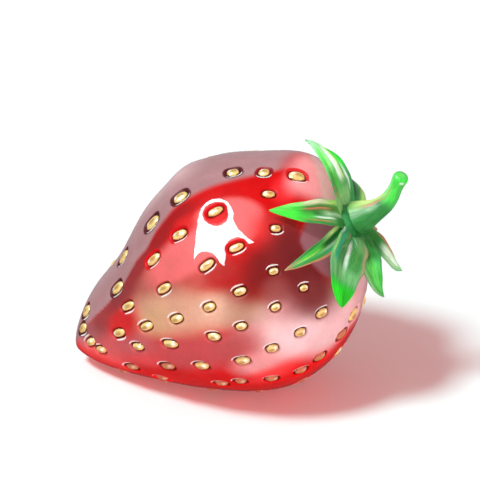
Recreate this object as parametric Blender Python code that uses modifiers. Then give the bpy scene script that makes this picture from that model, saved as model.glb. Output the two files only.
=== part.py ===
"""A strawberry, lying on its side with its calyx and stem at the raised end.

The fruit is a turned body whose radius follows a formula of the place along its core, with a belly
that bulges a little where it lies and a small flat spot under its weight. Its seeds sit in pits: both
are raised from the same skin by a formula. The calyx is a rosette of folded sepals joined by a disc,
and the stem is a tapered stalk that bends up to its cut end.

Everything is modelled along the fruit's own core, +Z from the tip to the crown and +X towards the side
that ends up on top, and one empty tilts and places it. Metres, +Z up.
"""

import math
import random

import bmesh
import bpy
import numpy as np
from mathutils import Euler, Vector

MM = 0.001

# Driving dimensions
FRUIT_LENGTH = 45.2 * MM
FRUIT_RADIUS = 15.74 * MM
TILT = math.radians(31.8)
GAP = 0.3 * MM

# How the radius runs from the tip (0) to the crown (1)
TIP_POWER = 0.705
SHOULDER_START = 3.7
SHOULDER_POWER = 0.85
CROWN_SINK = 2.0 * MM
CROWN_SINK_RADIUS = 4.5 * MM
PROFILE_STEPS = 2000
POLE = 1e-4
UPPER_HALF = 0.5
OVER_SHOULDER = 0.7

# The shoulder stands fuller on the top side's far half, round this place and angle
SHOULDER_SWELL = 1.7 * MM
SHOULDER_PLACE = 0.905
SHOULDER_LENGTH = 0.055
SHOULDER_ANGLE = math.radians(-35)
SHOULDER_FADE = 5.0 * MM

# The top side is flatter toward the tip and over the shoulder, and fuller halfway between: the middle
# of each swell along the core, its length, and how far it stands out
TOP_SWELLS = ((0.28, 0.075, -1.2 * MM), (0.565, 0.035, 0.45 * MM), (0.76, 0.07, -0.5 * MM))
TOP_ANGLE = math.radians(-12)

# The belly bulges where it lies, and is pressed flat there, as is skin that comes within the rim of it
BELLY_BULGE = 1.5 * MM
BELLY_PLACE = 0.5
BELLY_LENGTH = 0.15
BELLY_POWER = 6
FLAT_DEPTH = 0.45 * MM
FLAT_RIM = 0.1 * MM
FLAT_MARGIN = 0.08 * MM
LYING_PLACES = (0.05, 0.95)
LYING_STEPS = 400

# Seeds stand in columns from tip to crown. Each column: its angle round the core from the top side,
# the place of a lone seed near the tip, the place of the first seed above it, and the step from there.
# Columns fan apart on the side that faces the viewer; far ones are thinned where they crowd
SEED_COLUMNS = (
    (25, 0.110, 0.335, 0.139),
    (44, 0.072, 0.300, 0.138),
    (62, None, 0.325, 0.140),
    (79, 0.092, 0.230, 0.118),
    (93, 0.117, 0.280, 0.121),
    (113, 0.185, 0.330, 0.110),
    (134, 0.260, 0.435, 0.072),
    (152, 0.120, 0.235, 0.125),
    (170, None, 0.300, 0.125),
    (188, 0.090, 0.230, 0.130),
    (206, None, 0.310, 0.128),
    (224, 0.125, 0.240, 0.132),
    (242, 0.205, 0.360, 0.125),
    (260, 0.095, 0.290, 0.128),
    (278, None, 0.235, 0.125),
    (296, 0.110, 0.350, 0.128),
    (314, 0.190, 0.300, 0.125),
    (332, 0.080, 0.370, 0.125),
    (350, None, 0.240, 0.130),
    (28, None, 0.834, 0.200),
)
# Some seeds grew off their column's rule: which column and which seed from the tip, how much further
# along the core, and how many degrees further round it
SEED_NUDGES = {
    (0, 0): (0, -8),
    (0, 1): (-0.015, -4),
    (0, 2): (0.007, 2.5),
    (0, 3): (-0.01, 4.5),
    (0, 4): (0.004, -1.5),
    (0, 5): (0.016, 2.5),
    (1, 0): (0.006, -10),
    (1, 1): (-0.02, -2),
    (1, 2): (0.023, 2.5),
    (1, 3): (0.007, 3),
    (1, 4): (0, 2.5),
    (1, 5): (0, -1),
    (2, 0): (-0.014, -1.5),
    (2, 1): (0.011, 2),
    (2, 2): (0.039, 2.5),
    (2, 3): (0, 2),
    (2, 4): (-0.03, -0.5),
    (3, 0): (-0.003, -4),
    (3, 1): (-0.007, -5),
    (3, 2): (-0.005, -1.5),
    (3, 3): (0.005, 1.5),
    (3, 4): (0.012, 2.5),
    (3, 5): (0, 1.5),
    (3, 6): (-0.012, 0.5),
    (4, 0): (-0.005, -3),
    (4, 1): (-0.003, -1),
    (4, 2): (-0.009, -0.5),
    (4, 3): (0.027, 1),
    (4, 4): (0.012, 0),
    (4, 6): (-0.03, 1),
    (5, 0): (0, 5.5),
    (5, 1): (0, -1),
    (5, 2): (0.007, -2),
    (5, 3): (0.024, -2),
    (5, 4): (0.02, -4.5),
    (5, 5): (0.004, -4.5),
    (5, 6): (-0.035, -3.5),
    (6, 1): (0.005, -3),
    (6, 2): (-0.01, -7),
    (6, 3): (0.01, -4),
    (6, 4): (0.02, 0.5),
    (6, 5): (0.008, 0),
    (6, 6): (0.018, 3.5),
    (6, 7): (-0.008, 9),
    (7, 6): (0, 8),
    (18, 5): (0, -14),
    (19, 0): (0, -1.5),
}
SEED_LAST = 0.935
SEED_FACING = math.radians(80)
SEED_FAN = math.radians(46)
SEED_FAN_START = 0.33
SEED_CROWDED = math.radians(75)
SEED_CROWDED_PLACE = 0.74
SEED_JITTER = 0.22 * MM
SEED_DRAW = 11
SEED_HALF_LENGTH = 0.96 * MM
SEED_HALF_WIDTH = 0.63 * MM
PIT_HALF_LENGTH = 1.38 * MM
PIT_HALF_WIDTH = 1.08 * MM
PIT_DEPTH = 0.34 * MM
PIT_RIM = 0.05 * MM
SEED_TOP = 0.14 * MM
SEED_SHOULDER = 0.03 * MM
SEED_SHOULDER_SHARE = 0.66
RING_SIDES = (1, 6, 8, 10)
SKIN_POINTS = 1500
SKIN_CLEARANCE = 1.22

# Each sepal: its angle round the core, how far from the core its tip reaches, how high the tip is over
# the crown's end of the core, its width, how far it turns about its own midrib on the way there, how
# far its middle bows round the core, and where along it the blade is widest; millimetres and degrees
SEPALS = (
    (-5, 12.8, -0.9, 3.4, -38, 12, 0.28),
    (44, 12.9, -6.2, 3.4, -12, 6, 0.45),
    (81, 13.2, -7.1, 2.6, 0, 2, 0.42),
    (131, 11.4, -5.1, 5.6, 14, -24, 0.56),
    (170, 11.1, -2.2, 3.7, 35, -26, 0.36),
    (203, 11.8, -1.0, 2.6, 25, -12, 0.3),
    (245, 12.6, -6.2, 3.3, 0, 0, 0.42),
    (285, 12.8, -6.2, 3.5, 0, 2, 0.5),
    (323, 12.5, -3.8, 3.3, 0, 0, 0.4),
)
SEPAL_THICKNESS = 0.66 * MM
SEPAL_START = 0.7 * MM
SEPAL_LIFT = 0.85 * MM
SEPAL_STAGGER = 0.2 * MM
SEPAL_SIDES = 14
SEPAL_RISE_POWER = 1.6
SEPAL_FOLD = 0.42
SEPAL_ROOT_SHARE = 0.42
SEPAL_ROOT_POWER = 2.2
SEPAL_TIP_SHARE = 0.05
SEPAL_TIP_POWER = 1.05
SEPAL_TIP_FULLER = 0.72
SEPAL_ROWS = 11
SEPAL_COLUMNS = 4
SEPAL_SHARP = math.radians(50)

HUB_RADIUS = 2.9 * MM
HUB_TOP_RADIUS = 2.2 * MM
HUB_HEIGHT = 1.3 * MM
HUB_SIDES = 20
CROWN = FRUIT_LENGTH - CROWN_SINK

# The stalk's middle line above the disc: sideways, up the core, and its radius there, in millimetres
STEM_LINE = (
    (0.0, 0.0, 2.5),
    (0.0, 1.2, 2.1),
    (0.0, 2.9, 1.5),
    (0.25, 4.6, 1.25),
    (0.95, 6.1, 1.08),
    (1.75, 7.2, 0.92),
    (2.3, 8.0, 0.98),
    (2.75, 8.7, 1.12),
    (2.95, 9.0, 0.84),
)
STEM_CURVE_ORDER = 3
STEM_CURVE_STEPS = 4
STEM_SIDES_RESOLUTION = 2

SKIN_ROUGHNESS = 0.25
LEAF_ROUGHNESS = 0.4
SKIN_RED = (0.62, 0.015, 0.02, 1.0)
SEPAL_GREEN = (0.05, 0.32, 0.05, 1.0)
STEM_GREEN = (0.09, 0.42, 0.07, 1.0)


def clear_scene():
    for old in list(bpy.data.objects):
        bpy.data.objects.remove(old, do_unlink=True)


def material(name, colour, roughness):
    made = bpy.data.materials.new(name)
    made.use_nodes = True
    shader = made.node_tree.nodes["Principled BSDF"]
    shader.inputs["Base Color"].default_value = colour
    shader.inputs["Roughness"].default_value = roughness
    shader.inputs["Metallic"].default_value = 0.0
    return made


def new_collection(name):
    made = bpy.data.collections.new(name)
    bpy.context.scene.collection.children.link(made)
    return made


def object_from(mesh_builder, name, collection):
    mesh = bpy.data.meshes.new(name)
    mesh_builder.to_mesh(mesh)
    mesh_builder.free()
    made = bpy.data.objects.new(name, mesh)
    collection.objects.link(made)
    return made


class Profile:
    """The fruit's radius, arc length and spread of area along its core, from the tip to the crown."""

    def __init__(self):
        swing = np.linspace(0.0, math.pi, PROFILE_STEPS)
        self.place = POLE + (1 - 2 * POLE) * (1 - np.cos(swing)) / 2
        share = self.place**TIP_POWER * (1 - self.place**SHOULDER_START) ** SHOULDER_POWER
        self.radius = FRUIT_RADIUS * share / share.max()
        sunk = CROWN_SINK * np.exp(-((self.radius / CROWN_SINK_RADIUS) ** 2)) * (self.place > UPPER_HALF)
        self.height = FRUIT_LENGTH * self.place - sunk
        steps = np.hypot(np.diff(self.radius), np.diff(self.height))
        between = (self.radius[1:] + self.radius[:-1]) / 2
        self.arc = np.concatenate([[0.0], np.cumsum(steps)])
        self.area = np.concatenate([[0.0], np.cumsum(steps * between)])
        # Mercator's measure, by which a turned surface maps onto a ball without shearing
        stretch = np.concatenate([[0.0], np.cumsum(steps / between)])
        self.stretch = stretch - np.interp(self.arc[-1] / 2, self.arc, stretch)

    def radius_at(self, place):
        return np.interp(place, self.place, self.radius)

    def height_at(self, place):
        return np.interp(place, self.place, self.height)

    def arc_at(self, place):
        return np.interp(place, self.place, self.arc)

    def place_at_arc(self, arc):
        return np.interp(arc, self.arc, self.place)

    def place_at_area(self, share):
        return np.interp(share * self.area[-1], self.area, self.place)

    def polar_angle(self, place):
        return 2 * np.arctan(np.exp(np.interp(place, self.place, self.stretch)))

    def outward(self, place):
        """The skin's direction there, as its share away from the core and its share along it."""
        run = np.interp(place, self.place, np.gradient(self.radius, self.arc))
        rise = np.interp(place, self.place, np.gradient(self.height, self.arc))
        length = np.hypot(run, rise)
        return rise / length, -run / length


def top_side(place, angle):
    """How far the top side stands out from the turned body."""
    out = 0.0
    for middle, length, height in TOP_SWELLS:
        out = out + height * np.exp(-(((place - middle) / length) ** 2) / 2)
    return out * np.clip(np.cos(angle - TOP_ANGLE), 0, 1) ** 2


def belly(place, angle):
    """How far the belly stands out from the turned body."""
    along = np.exp(-(((place - BELLY_PLACE) / BELLY_LENGTH) ** 2) / 2)
    return BELLY_BULGE * along * np.clip(-np.cos(angle), 0, 1) ** BELLY_POWER


def shoulder(place, radius, angle):
    """How far the shoulder swells out on the top side, fading to nothing at the crown's middle."""
    along = np.exp(-(((place - SHOULDER_PLACE) / SHOULDER_LENGTH) ** 2) / 2)
    fade = 1 - np.exp(-((radius / SHOULDER_FADE) ** 2))
    return SHOULDER_SWELL * along * fade * np.clip(np.cos(angle - SHOULDER_ANGLE), 0, 1) ** 2


def outline(profile, place, angle, lift=0.0):
    """The skin's distance from the core and its height along it, at that place or that far off it."""
    out, along = profile.outward(place)
    turned = profile.radius_at(place)
    lift = lift + shoulder(place, turned, angle)
    radius = turned + top_side(place, angle) + belly(place, angle) + lift * out
    return radius, profile.height_at(place) + lift * along


def skin(profile, place, angle, lift=0.0):
    """Points of the skin, or that far off it, in the fruit's own frame."""
    radius, height = outline(profile, place, angle, lift)
    return np.stack([radius * np.cos(angle), radius * np.sin(angle), height], axis=-1)


def height_above_ground(points):
    """How high points stand along the world's upright, before the whole is set down."""
    return points[..., 0] * math.cos(TILT) + points[..., 2] * math.sin(TILT)


def ground_height(profile):
    """The level of the table: the belly's lowest point, plus what the flat spot takes off."""
    places = np.linspace(*LYING_PLACES, LYING_STEPS)
    return height_above_ground(skin(profile, places, np.pi)).min() + FLAT_DEPTH


def seed_places(profile, ground):
    """Every seed as its place along the core and its angle round it."""
    draw = random.Random(SEED_DRAW)
    places = []
    for number, (degrees, lone, first, step) in enumerate(SEED_COLUMNS):
        start = math.radians(degrees)
        turned = math.atan2(math.sin(start - SEED_FACING), math.cos(start - SEED_FACING))
        count = int((SEED_LAST - first) / step) + 1
        column = [first + step * i for i in range(count)]
        if lone is not None:
            column.insert(0, lone)
        for row, place in enumerate(column):
            crowded = abs(turned) > math.pi - SEED_CROWDED and place > SEED_CROWDED_PLACE
            if crowded and number % 2:
                continue
            angle = start + SEED_FAN * (place - SEED_FAN_START) * math.sin(turned)
            place += draw.uniform(-SEED_JITTER, SEED_JITTER) / FRUIT_LENGTH
            angle += draw.uniform(-SEED_JITTER, SEED_JITTER) / profile.radius_at(place)
            further, rounder = SEED_NUDGES.get((number, row), (0, 0))
            place += further
            angle += math.radians(rounder)
            if height_above_ground(skin(profile, place, angle)) > ground + FLAT_MARGIN:
                places.append((place, angle))
    return places


def ring_round(profile, place, angle, half_length, half_width, count, turn):
    """An oval of skin points round a seed, its long way along the core."""
    if count == 1:
        return np.array([[place, angle]])
    swing = 2 * np.pi * (np.arange(count) + turn) / count
    arc = profile.arc_at(place) + half_length * np.cos(swing)
    around = half_width * np.sin(swing) / profile.radius_at(place)
    return np.stack([profile.place_at_arc(arc), angle + around], axis=1)


def skin_points(profile, seeds):
    """Places, angles and lifts of the points that carry the skin, its pits and its seeds."""
    rings = (
        (0.0, 0.0, SEED_TOP),
        (SEED_HALF_LENGTH * SEED_SHOULDER_SHARE, SEED_HALF_WIDTH * SEED_SHOULDER_SHARE, SEED_SHOULDER),
        (SEED_HALF_LENGTH, SEED_HALF_WIDTH, -PIT_DEPTH),
        (PIT_HALF_LENGTH, PIT_HALF_WIDTH, PIT_RIM),
    )
    count = np.arange(SKIN_POINTS)
    place = profile.place_at_area((count + 0.5) / SKIN_POINTS)
    angle = count * math.pi * (3 - math.sqrt(5))
    clear = np.ones(SKIN_POINTS, bool)
    groups = []
    for seed_place, seed_angle in seeds:
        along = (profile.arc_at(place) - profile.arc_at(seed_place)) / PIT_HALF_LENGTH
        away = np.remainder(angle - seed_angle + np.pi, 2 * np.pi) - np.pi
        around = away * profile.radius_at(place) / PIT_HALF_WIDTH
        clear &= np.hypot(along, around) > SKIN_CLEARANCE
        for number, (half_length, half_width, lift) in enumerate(rings):
            sides = RING_SIDES[number]
            turn = number / 2
            ring = ring_round(profile, seed_place, seed_angle, half_length, half_width, sides, turn)
            groups.append(np.column_stack([ring, np.full(len(ring), lift)]))
    base = np.column_stack([place[clear], angle[clear], np.zeros(clear.sum())])
    return np.concatenate([base] + groups)


def build_fruit(profile, collection):
    """One closed body: its points are joined up on a ball, then each goes to its place on the skin."""
    ground = ground_height(profile)
    seeds = seed_places(profile, ground)
    place, angle, lift = skin_points(profile, seeds).T
    polar = profile.polar_angle(place)
    ball = np.stack(
        [np.sin(polar) * np.cos(angle), np.sin(polar) * np.sin(angle), -np.cos(polar)], axis=1
    )
    points = skin(profile, place, angle, lift)
    short = ground - height_above_ground(points)
    moved = np.where(short > -FLAT_RIM, short, 0)
    points[:, 0] += moved * math.cos(TILT)
    points[:, 2] += moved * math.sin(TILT)

    builder = bmesh.new()
    for point in ball:
        builder.verts.new(point)
    bmesh.ops.convex_hull(builder, input=builder.verts)
    builder.verts.ensure_lookup_table()
    for vertex, point in zip(list(builder.verts), points):
        vertex.co = point
    loose = [vertex for vertex in builder.verts if not vertex.link_faces]
    bmesh.ops.delete(builder, geom=loose, context="VERTS")
    bmesh.ops.recalc_face_normals(builder, faces=builder.faces)
    made = object_from(builder, "fruit", collection)
    made.data.shade_smooth()
    made.data.materials.append(material("skin", SKIN_RED, SKIN_ROUGHNESS))
    return made


def blade_share(share, widest):
    """A sepal's width along its length, as a share of its widest: narrow root, lens, pointed tip."""
    fall = SEPAL_TIP_POWER - SEPAL_TIP_FULLER * widest
    rise = fall * widest / (1 - widest)
    lens = (share / widest) ** rise * ((1 - share) / (1 - widest)) ** fall
    return max(lens, SEPAL_TIP_SHARE) + SEPAL_ROOT_SHARE * (1 - share) ** SEPAL_ROOT_POWER


def sepal_line(profile, sepal, raised):
    """A sepal's midrib as distances from the core and heights along it, from root to tip."""
    degrees, reach, level = sepal[:3]
    places = np.linspace(OVER_SHOULDER, 1 - POLE, PROFILE_STEPS)
    share = np.linspace(0, 1, SEPAL_ROWS)
    line_radius = SEPAL_START + (reach * MM - SEPAL_START) * share
    over_skin = np.full(SEPAL_ROWS, -np.inf)
    for side in (-SEPAL_SIDES, 0, SEPAL_SIDES):
        radii, heights = outline(profile, places, math.radians(degrees + side), SEPAL_LIFT)
        order = np.argsort(radii)
        over_skin = np.maximum(over_skin, np.interp(line_radius, radii[order], heights[order]))
    rise = FRUIT_LENGTH + level * MM - over_skin[-1]
    line_height = over_skin + raised * (1 - share) + rise * share**SEPAL_RISE_POWER
    return line_radius, line_height


def sepal_points(profile, sepal, raised):
    """The sepal's middle surface, row by row from root to tip and across each row."""
    degrees, _, _, width, twist, bow, widest = sepal
    radius, height = sepal_line(profile, sepal, raised)
    run, rise = np.gradient(radius), np.gradient(height)
    length = np.hypot(run, rise)
    off_radius, off_height = -rise / length, run / length
    rows = []
    for row in range(SEPAL_ROWS):
        share = row / (SEPAL_ROWS - 1)
        half = width * MM / 2 * blade_share(share, widest)
        turn = math.radians(twist) * share
        fold = SEPAL_FOLD * math.sin(math.pi * share)
        angle = math.radians(degrees + bow * math.sin(math.pi * share))
        points = []
        for across in np.linspace(-1, 1, SEPAL_COLUMNS + 1):
            sideways = half * across * math.cos(turn)
            off = half * (across * math.sin(turn) + abs(across) * fold)
            out = radius[row] + off * off_radius[row]
            x = out * math.cos(angle) - sideways * math.sin(angle)
            y = out * math.sin(angle) + sideways * math.cos(angle)
            points.append(Vector((x, y, height[row] + off * off_height[row])))
        rows.append(points)
    return rows


def build_sepal(profile, sepal, raised, collection):
    """One blade: a folded sheet of triangles, the same on both faces once it has its thickness."""
    builder = bmesh.new()
    bmesh.ops.create_grid(builder, x_segments=SEPAL_ROWS - 1, y_segments=SEPAL_COLUMNS, size=1)
    points = sepal_points(profile, sepal, raised)
    for vertex in builder.verts:
        row = round((vertex.co.x + 1) / 2 * (SEPAL_ROWS - 1))
        column = round((vertex.co.y + 1) / 2 * SEPAL_COLUMNS)
        vertex.co = points[row][column]
    bmesh.ops.triangulate(builder, faces=builder.faces)
    made = object_from(builder, "sepal", collection)
    thick = made.modifiers.new("thickness", "SOLIDIFY")
    thick.thickness = SEPAL_THICKNESS
    thick.offset = 0
    return made


def build_hub(collection):
    """The low disc in the middle that joins the sepals."""
    builder = bmesh.new()
    bmesh.ops.create_cone(
        builder,
        cap_ends=True,
        segments=HUB_SIDES,
        radius1=HUB_RADIUS,
        radius2=HUB_TOP_RADIUS,
        depth=HUB_HEIGHT,
    )
    middle = CROWN + GAP + HUB_HEIGHT / 2
    bmesh.ops.translate(builder, verts=builder.verts, vec=(0, 0, middle))
    made = object_from(builder, "calyx", collection)
    made.data.materials.append(material("sepal_green", SEPAL_GREEN, LEAF_ROUGHNESS))
    return made


def build_calyx(profile, collection, cutters):
    """The sepals and their disc, joined into one body."""
    calyx = build_hub(collection)
    for number, sepal in enumerate(SEPALS):
        build_sepal(profile, sepal, SEPAL_STAGGER * (number % 2), cutters)
    join = calyx.modifiers.new("join", "BOOLEAN")
    join.operation = "UNION"
    join.operand_type = "COLLECTION"
    join.collection = cutters
    join.solver = "EXACT"
    graph = bpy.context.evaluated_depsgraph_get()
    joined = bpy.data.meshes.new_from_object(calyx.evaluated_get(graph))
    calyx.modifiers.clear()
    calyx.data = joined
    calyx.data.name = "calyx"
    for blade in list(cutters.objects):
        bpy.data.objects.remove(blade, do_unlink=True)
    calyx.data.shade_smooth()
    calyx.data.set_sharp_from_angle(angle=SEPAL_SHARP)
    return calyx


def build_stem(collection):
    """The stalk, a tapered round curve that ends in a slightly swollen cut."""
    line = bpy.data.curves.new("stem", "CURVE")
    line.dimensions = "3D"
    line.bevel_depth = MM
    line.bevel_resolution = STEM_SIDES_RESOLUTION
    line.resolution_u = STEM_CURVE_STEPS
    line.use_fill_caps = True
    spline = line.splines.new("NURBS")
    spline.points.add(len(STEM_LINE) - 1)
    spline.order_u = STEM_CURVE_ORDER
    spline.use_endpoint_u = True
    foot = CROWN + GAP + HUB_HEIGHT + GAP
    for point, (sideways, up, radius) in zip(spline.points, STEM_LINE):
        point.co = (sideways * MM, 0, foot + up * MM, 1)
        point.radius = radius
    made = bpy.data.objects.new("stem", line)
    made.data.materials.append(material("stem_green", STEM_GREEN, LEAF_ROUGHNESS))
    collection.objects.link(made)
    return made


def world_bounds(objects):
    graph = bpy.context.evaluated_depsgraph_get()
    corners = []
    for item in objects:
        found = item.evaluated_get(graph)
        corners += [found.matrix_world @ vertex.co for vertex in found.to_mesh().vertices]
        found.to_mesh_clear()
    corners = np.array(corners)
    return corners.min(axis=0), corners.max(axis=0)


def set_down(profile, pieces, collection):
    """Tilts the whole and sets its flat spot on the ground, with its box centred on the origin."""
    core = bpy.data.objects.new("strawberry_core", None)
    collection.objects.link(core)
    core.rotation_mode = "ZYX"
    core.rotation_euler = Euler((0, math.pi / 2 - TILT, math.pi), "ZYX")
    for piece in pieces:
        piece.parent = core
    bpy.context.view_layer.update()
    low, high = world_bounds(pieces)
    core.location = (-(low[0] + high[0]) / 2, -(low[1] + high[1]) / 2, -ground_height(profile))
    bpy.context.view_layer.update()


def main():
    clear_scene()
    parts = new_collection("strawberry")
    blades = new_collection("sepal_blades")
    profile = Profile()
    fruit = build_fruit(profile, parts)
    calyx = build_calyx(profile, parts, blades)
    stem = build_stem(parts)
    set_down(profile, (fruit, calyx, stem), parts)
    bpy.data.collections.remove(blades)


main()
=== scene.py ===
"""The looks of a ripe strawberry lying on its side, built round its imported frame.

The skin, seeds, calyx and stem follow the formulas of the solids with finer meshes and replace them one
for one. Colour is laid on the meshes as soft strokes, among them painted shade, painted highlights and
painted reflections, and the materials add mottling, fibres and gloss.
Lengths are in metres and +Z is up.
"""

import math
import random

import bmesh
import bpy
import numpy as np
from mathutils import Euler, Matrix, Vector
from mathutils.geometry import delaunay_2d_cdt


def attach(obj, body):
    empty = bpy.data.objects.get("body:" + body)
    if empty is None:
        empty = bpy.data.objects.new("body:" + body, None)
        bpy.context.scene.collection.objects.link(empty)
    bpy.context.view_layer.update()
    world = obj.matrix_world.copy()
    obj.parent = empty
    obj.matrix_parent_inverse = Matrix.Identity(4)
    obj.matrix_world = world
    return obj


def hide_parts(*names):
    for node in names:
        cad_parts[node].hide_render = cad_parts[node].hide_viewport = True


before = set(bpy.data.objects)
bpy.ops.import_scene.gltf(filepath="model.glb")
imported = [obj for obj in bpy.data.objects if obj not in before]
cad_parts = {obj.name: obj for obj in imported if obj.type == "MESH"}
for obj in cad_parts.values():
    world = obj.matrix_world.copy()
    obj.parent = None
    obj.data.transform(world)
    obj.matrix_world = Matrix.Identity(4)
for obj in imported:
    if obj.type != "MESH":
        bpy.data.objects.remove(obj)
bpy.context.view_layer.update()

MM = 0.001

# The form, as the solids have it
FRUIT_LENGTH = 45.2 * MM
FRUIT_RADIUS = 15.74 * MM
TILT = math.radians(31.8)
GAP = 0.3 * MM
TIP_POWER = 0.705
SHOULDER_START = 3.7
SHOULDER_POWER = 0.85
CROWN_SINK = 2.0 * MM
CROWN_SINK_RADIUS = 4.5 * MM
PROFILE_STEPS = 2000
POLE = 1e-4
UPPER_HALF = 0.5
OVER_SHOULDER = 0.7
SHOULDER_SWELL = 1.7 * MM
SHOULDER_PLACE = 0.905
SHOULDER_LENGTH = 0.055
SHOULDER_ANGLE = math.radians(-35)
SHOULDER_FADE = 5.0 * MM
TOP_SWELLS = ((0.28, 0.075, -1.2 * MM), (0.565, 0.035, 0.45 * MM), (0.76, 0.07, -0.5 * MM))
TOP_ANGLE = math.radians(-12)
BELLY_BULGE = 1.5 * MM
BELLY_PLACE = 0.5
BELLY_LENGTH = 0.15
BELLY_POWER = 6
FLAT_DEPTH = 0.45 * MM
FLAT_RIM = 0.1 * MM
FLAT_MARGIN = 0.08 * MM
LYING_PLACES = (0.05, 0.95)
LYING_STEPS = 400
# Columns of seeds: degrees round the core, then places along it: a lone seed's or none, the first, the step
SEED_COLUMNS = (
    (25, 0.11, 0.335, 0.139), (44, 0.072, 0.3, 0.138), (62, None, 0.325, 0.14), (79, 0.092, 0.23, 0.118),
    (93, 0.117, 0.28, 0.121), (113, 0.185, 0.33, 0.11), (134, 0.26, 0.435, 0.072),
    (152, 0.12, 0.235, 0.125), (170, None, 0.3, 0.125), (188, 0.09, 0.23, 0.13), (206, None, 0.31, 0.128),
    (224, 0.125, 0.24, 0.132), (242, 0.205, 0.36, 0.125), (260, 0.095, 0.29, 0.128),
    (278, None, 0.235, 0.125), (296, 0.11, 0.35, 0.128), (314, 0.19, 0.3, 0.125), (332, 0.08, 0.37, 0.125),
    (350, None, 0.24, 0.13), (28, None, 0.834, 0.2),
)
# The seeds that the photograph shows, by column and row: how far each is moved off the rule's place, along
# the core and in degrees round it; then its length and width in millimetres and its turn in degrees
SEEN_SEEDS = {
    0: (
        (0, -8, 2.6, 1.5, 15), (-0.015, -4, 2.7, 1.7, 15), (0.007, 2.5, 2.6, 1.7, -3),
        (-0.01, 4.5, 2.2, 1.6, -22), (0.004, -1.5, 1.75, 1.6, -15), (0.016, 2.5, 2.3, 1.4, -19),
    ),
    1: (
        (0.006, -10, 2.5, 1.2, 12), (-0.02, -2, 2.8, 1.5, 4), (0.023, 2.5, 2.6, 1.25, -5),
        (0.007, 3, 2.3, 1.25, 2), (0, 2.5, 2.2, 1.2, -15), (0, -1, 1.8, 1.05, 2),
    ),
    2: (
        (-0.014, -1.5, 2.7, 1.1, 5), (0.011, 2, 2.6, 1.15, -1), (0.039, 2.5, 2.35, 1.1, -11),
        (0, 2, 2.1, 1.05, -2), (-0.03, -0.5, 1.45, 1, 12),
    ),
    3: (
        (-0.003, -4, 2.4, 1.15, -2), (-0.007, -5, 2.5, 1.15, 3), (-0.005, -1.5, 2.5, 1.15, 0),
        (0.005, 1.5, 2.2, 1.15, 0), (0.012, 2.5, 1.8, 1.15, 0), (0, 1.5, 1.8, 1.05, 5),
        (-0.012, 0.5, 1.4, 0.95, 14),
    ),
    4: (
        (-0.005, -3, 2.2, 1.15, 2), (-0.003, -1, 2, 1.2, 7), (-0.009, -0.5, 2.4, 1.25, 14),
        (0.027, 1, 1.9, 1.3, 20), (0.012, 0, 1.6, 1.1, 9), (0, 0, 1.4, 1.05, 8), (-0.03, 1, 1.3, 0.9, 30),
    ),
    5: (
        (0, 5.5, 2.4, 1.4, -15), (0, -1, 2.3, 1.5, -3), (0.007, -2, 2.1, 1.6, 5), (0.024, -2, 2.1, 1.6, 9),
        (0.02, -4.5, 1.65, 1.4, 18), (0.004, -4.5, 1.6, 1.3, 36), (-0.035, -3.5, 1.9, 1.3, 38),
    ),
    6: (
        (0, 0), (0.005, -3, 1.8, 1.6, 5), (-0.01, -7, 1.6, 1.6, 10), (0.01, -4, 1.8, 1.6, 30),
        (0.02, 0.5, 1.8, 1.6, 38), (0.008, 0, 1.9, 1.6, 50), (0.018, 3.5, 2.1, 1.5, 60),
        (-0.008, 9, 2.4, 1.7, 70),
    ),
    7: ((0, 0),) * 6 + ((0, 8),),
    18: ((0, 0),) * 5 + ((0, -14),),
    19: ((0, -1.5, 1.55, 1.5, 4),),
}
SEED_LAST = 0.935
SEED_FACING = math.radians(80)
SEED_FAN = math.radians(46)
SEED_FAN_START = 0.33
SEED_CROWDED = math.radians(75)
SEED_CROWDED_PLACE = 0.74
SEED_JITTER = 0.22 * MM
SEED_DRAW = 11
SEED_HALF_LENGTH = 0.96 * MM
SEED_HALF_WIDTH = 0.63 * MM
PIT_DEPTH = 0.34 * MM
# Sepals: degrees round the core; the tip's reach and level and the width, in millimetres; the twist and
# bow in degrees; and the widest place along the blade
SEPALS = (
    (-5, 12.8, -0.9, 3.4, -38, 12, 0.28),
    (44, 12.9, -6.2, 3.4, -12, 6, 0.45),
    (81, 13.2, -7.1, 2.6, 0, 2, 0.42),
    (131, 11.4, -5.1, 5.6, 14, -24, 0.56),
    (170, 11.1, -2.2, 3.7, 35, -26, 0.36),
    (203, 11.8, -1.0, 2.6, 25, -12, 0.3),
    (245, 12.6, -6.2, 3.3, 0, 0, 0.42),
    (285, 12.8, -6.2, 3.5, 0, 2, 0.5),
    (323, 12.5, -3.8, 3.3, 0, 0, 0.4),
)
SEPAL_START = 0.7 * MM
SEPAL_LIFT = 0.85 * MM
SEPAL_STAGGER = 0.2 * MM
SEPAL_SIDES = 14
SEPAL_RISE_POWER = 1.6
SEPAL_FOLD = 0.42
SEPAL_ROOT_SHARE = 0.42
SEPAL_ROOT_POWER = 2.2
SEPAL_TIP_SHARE = 0.05
SEPAL_TIP_POWER = 1.05
SEPAL_TIP_FULLER = 0.72
HUB_HEIGHT = 1.3 * MM
CROWN = FRUIT_LENGTH - CROWN_SINK
# Points that the stem's curve follows: lean, height and half thickness, in millimetres
STEM_LINE = (
    (0.0, 0.0, 2.5), (0.0, 1.2, 2.1), (0.0, 2.9, 1.5), (0.25, 4.6, 1.25), (0.95, 6.1, 1.08),
    (1.75, 7.2, 0.92), (2.3, 8.0, 0.98), (2.75, 8.7, 1.12), (2.95, 9.0, 0.84),
)
STEM_CURVE_DEGREE = 2
STEM_CURVE_SHORT = 1e-9

# Where the core's tip end stands in the frame
CORE_TIP = Vector((-22.544, -0.024, 2.277)) * MM
CORE = Matrix.Translation(CORE_TIP) @ Euler((0, math.pi / 2 - TILT, math.pi), "ZYX").to_matrix().to_4x4()

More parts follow.
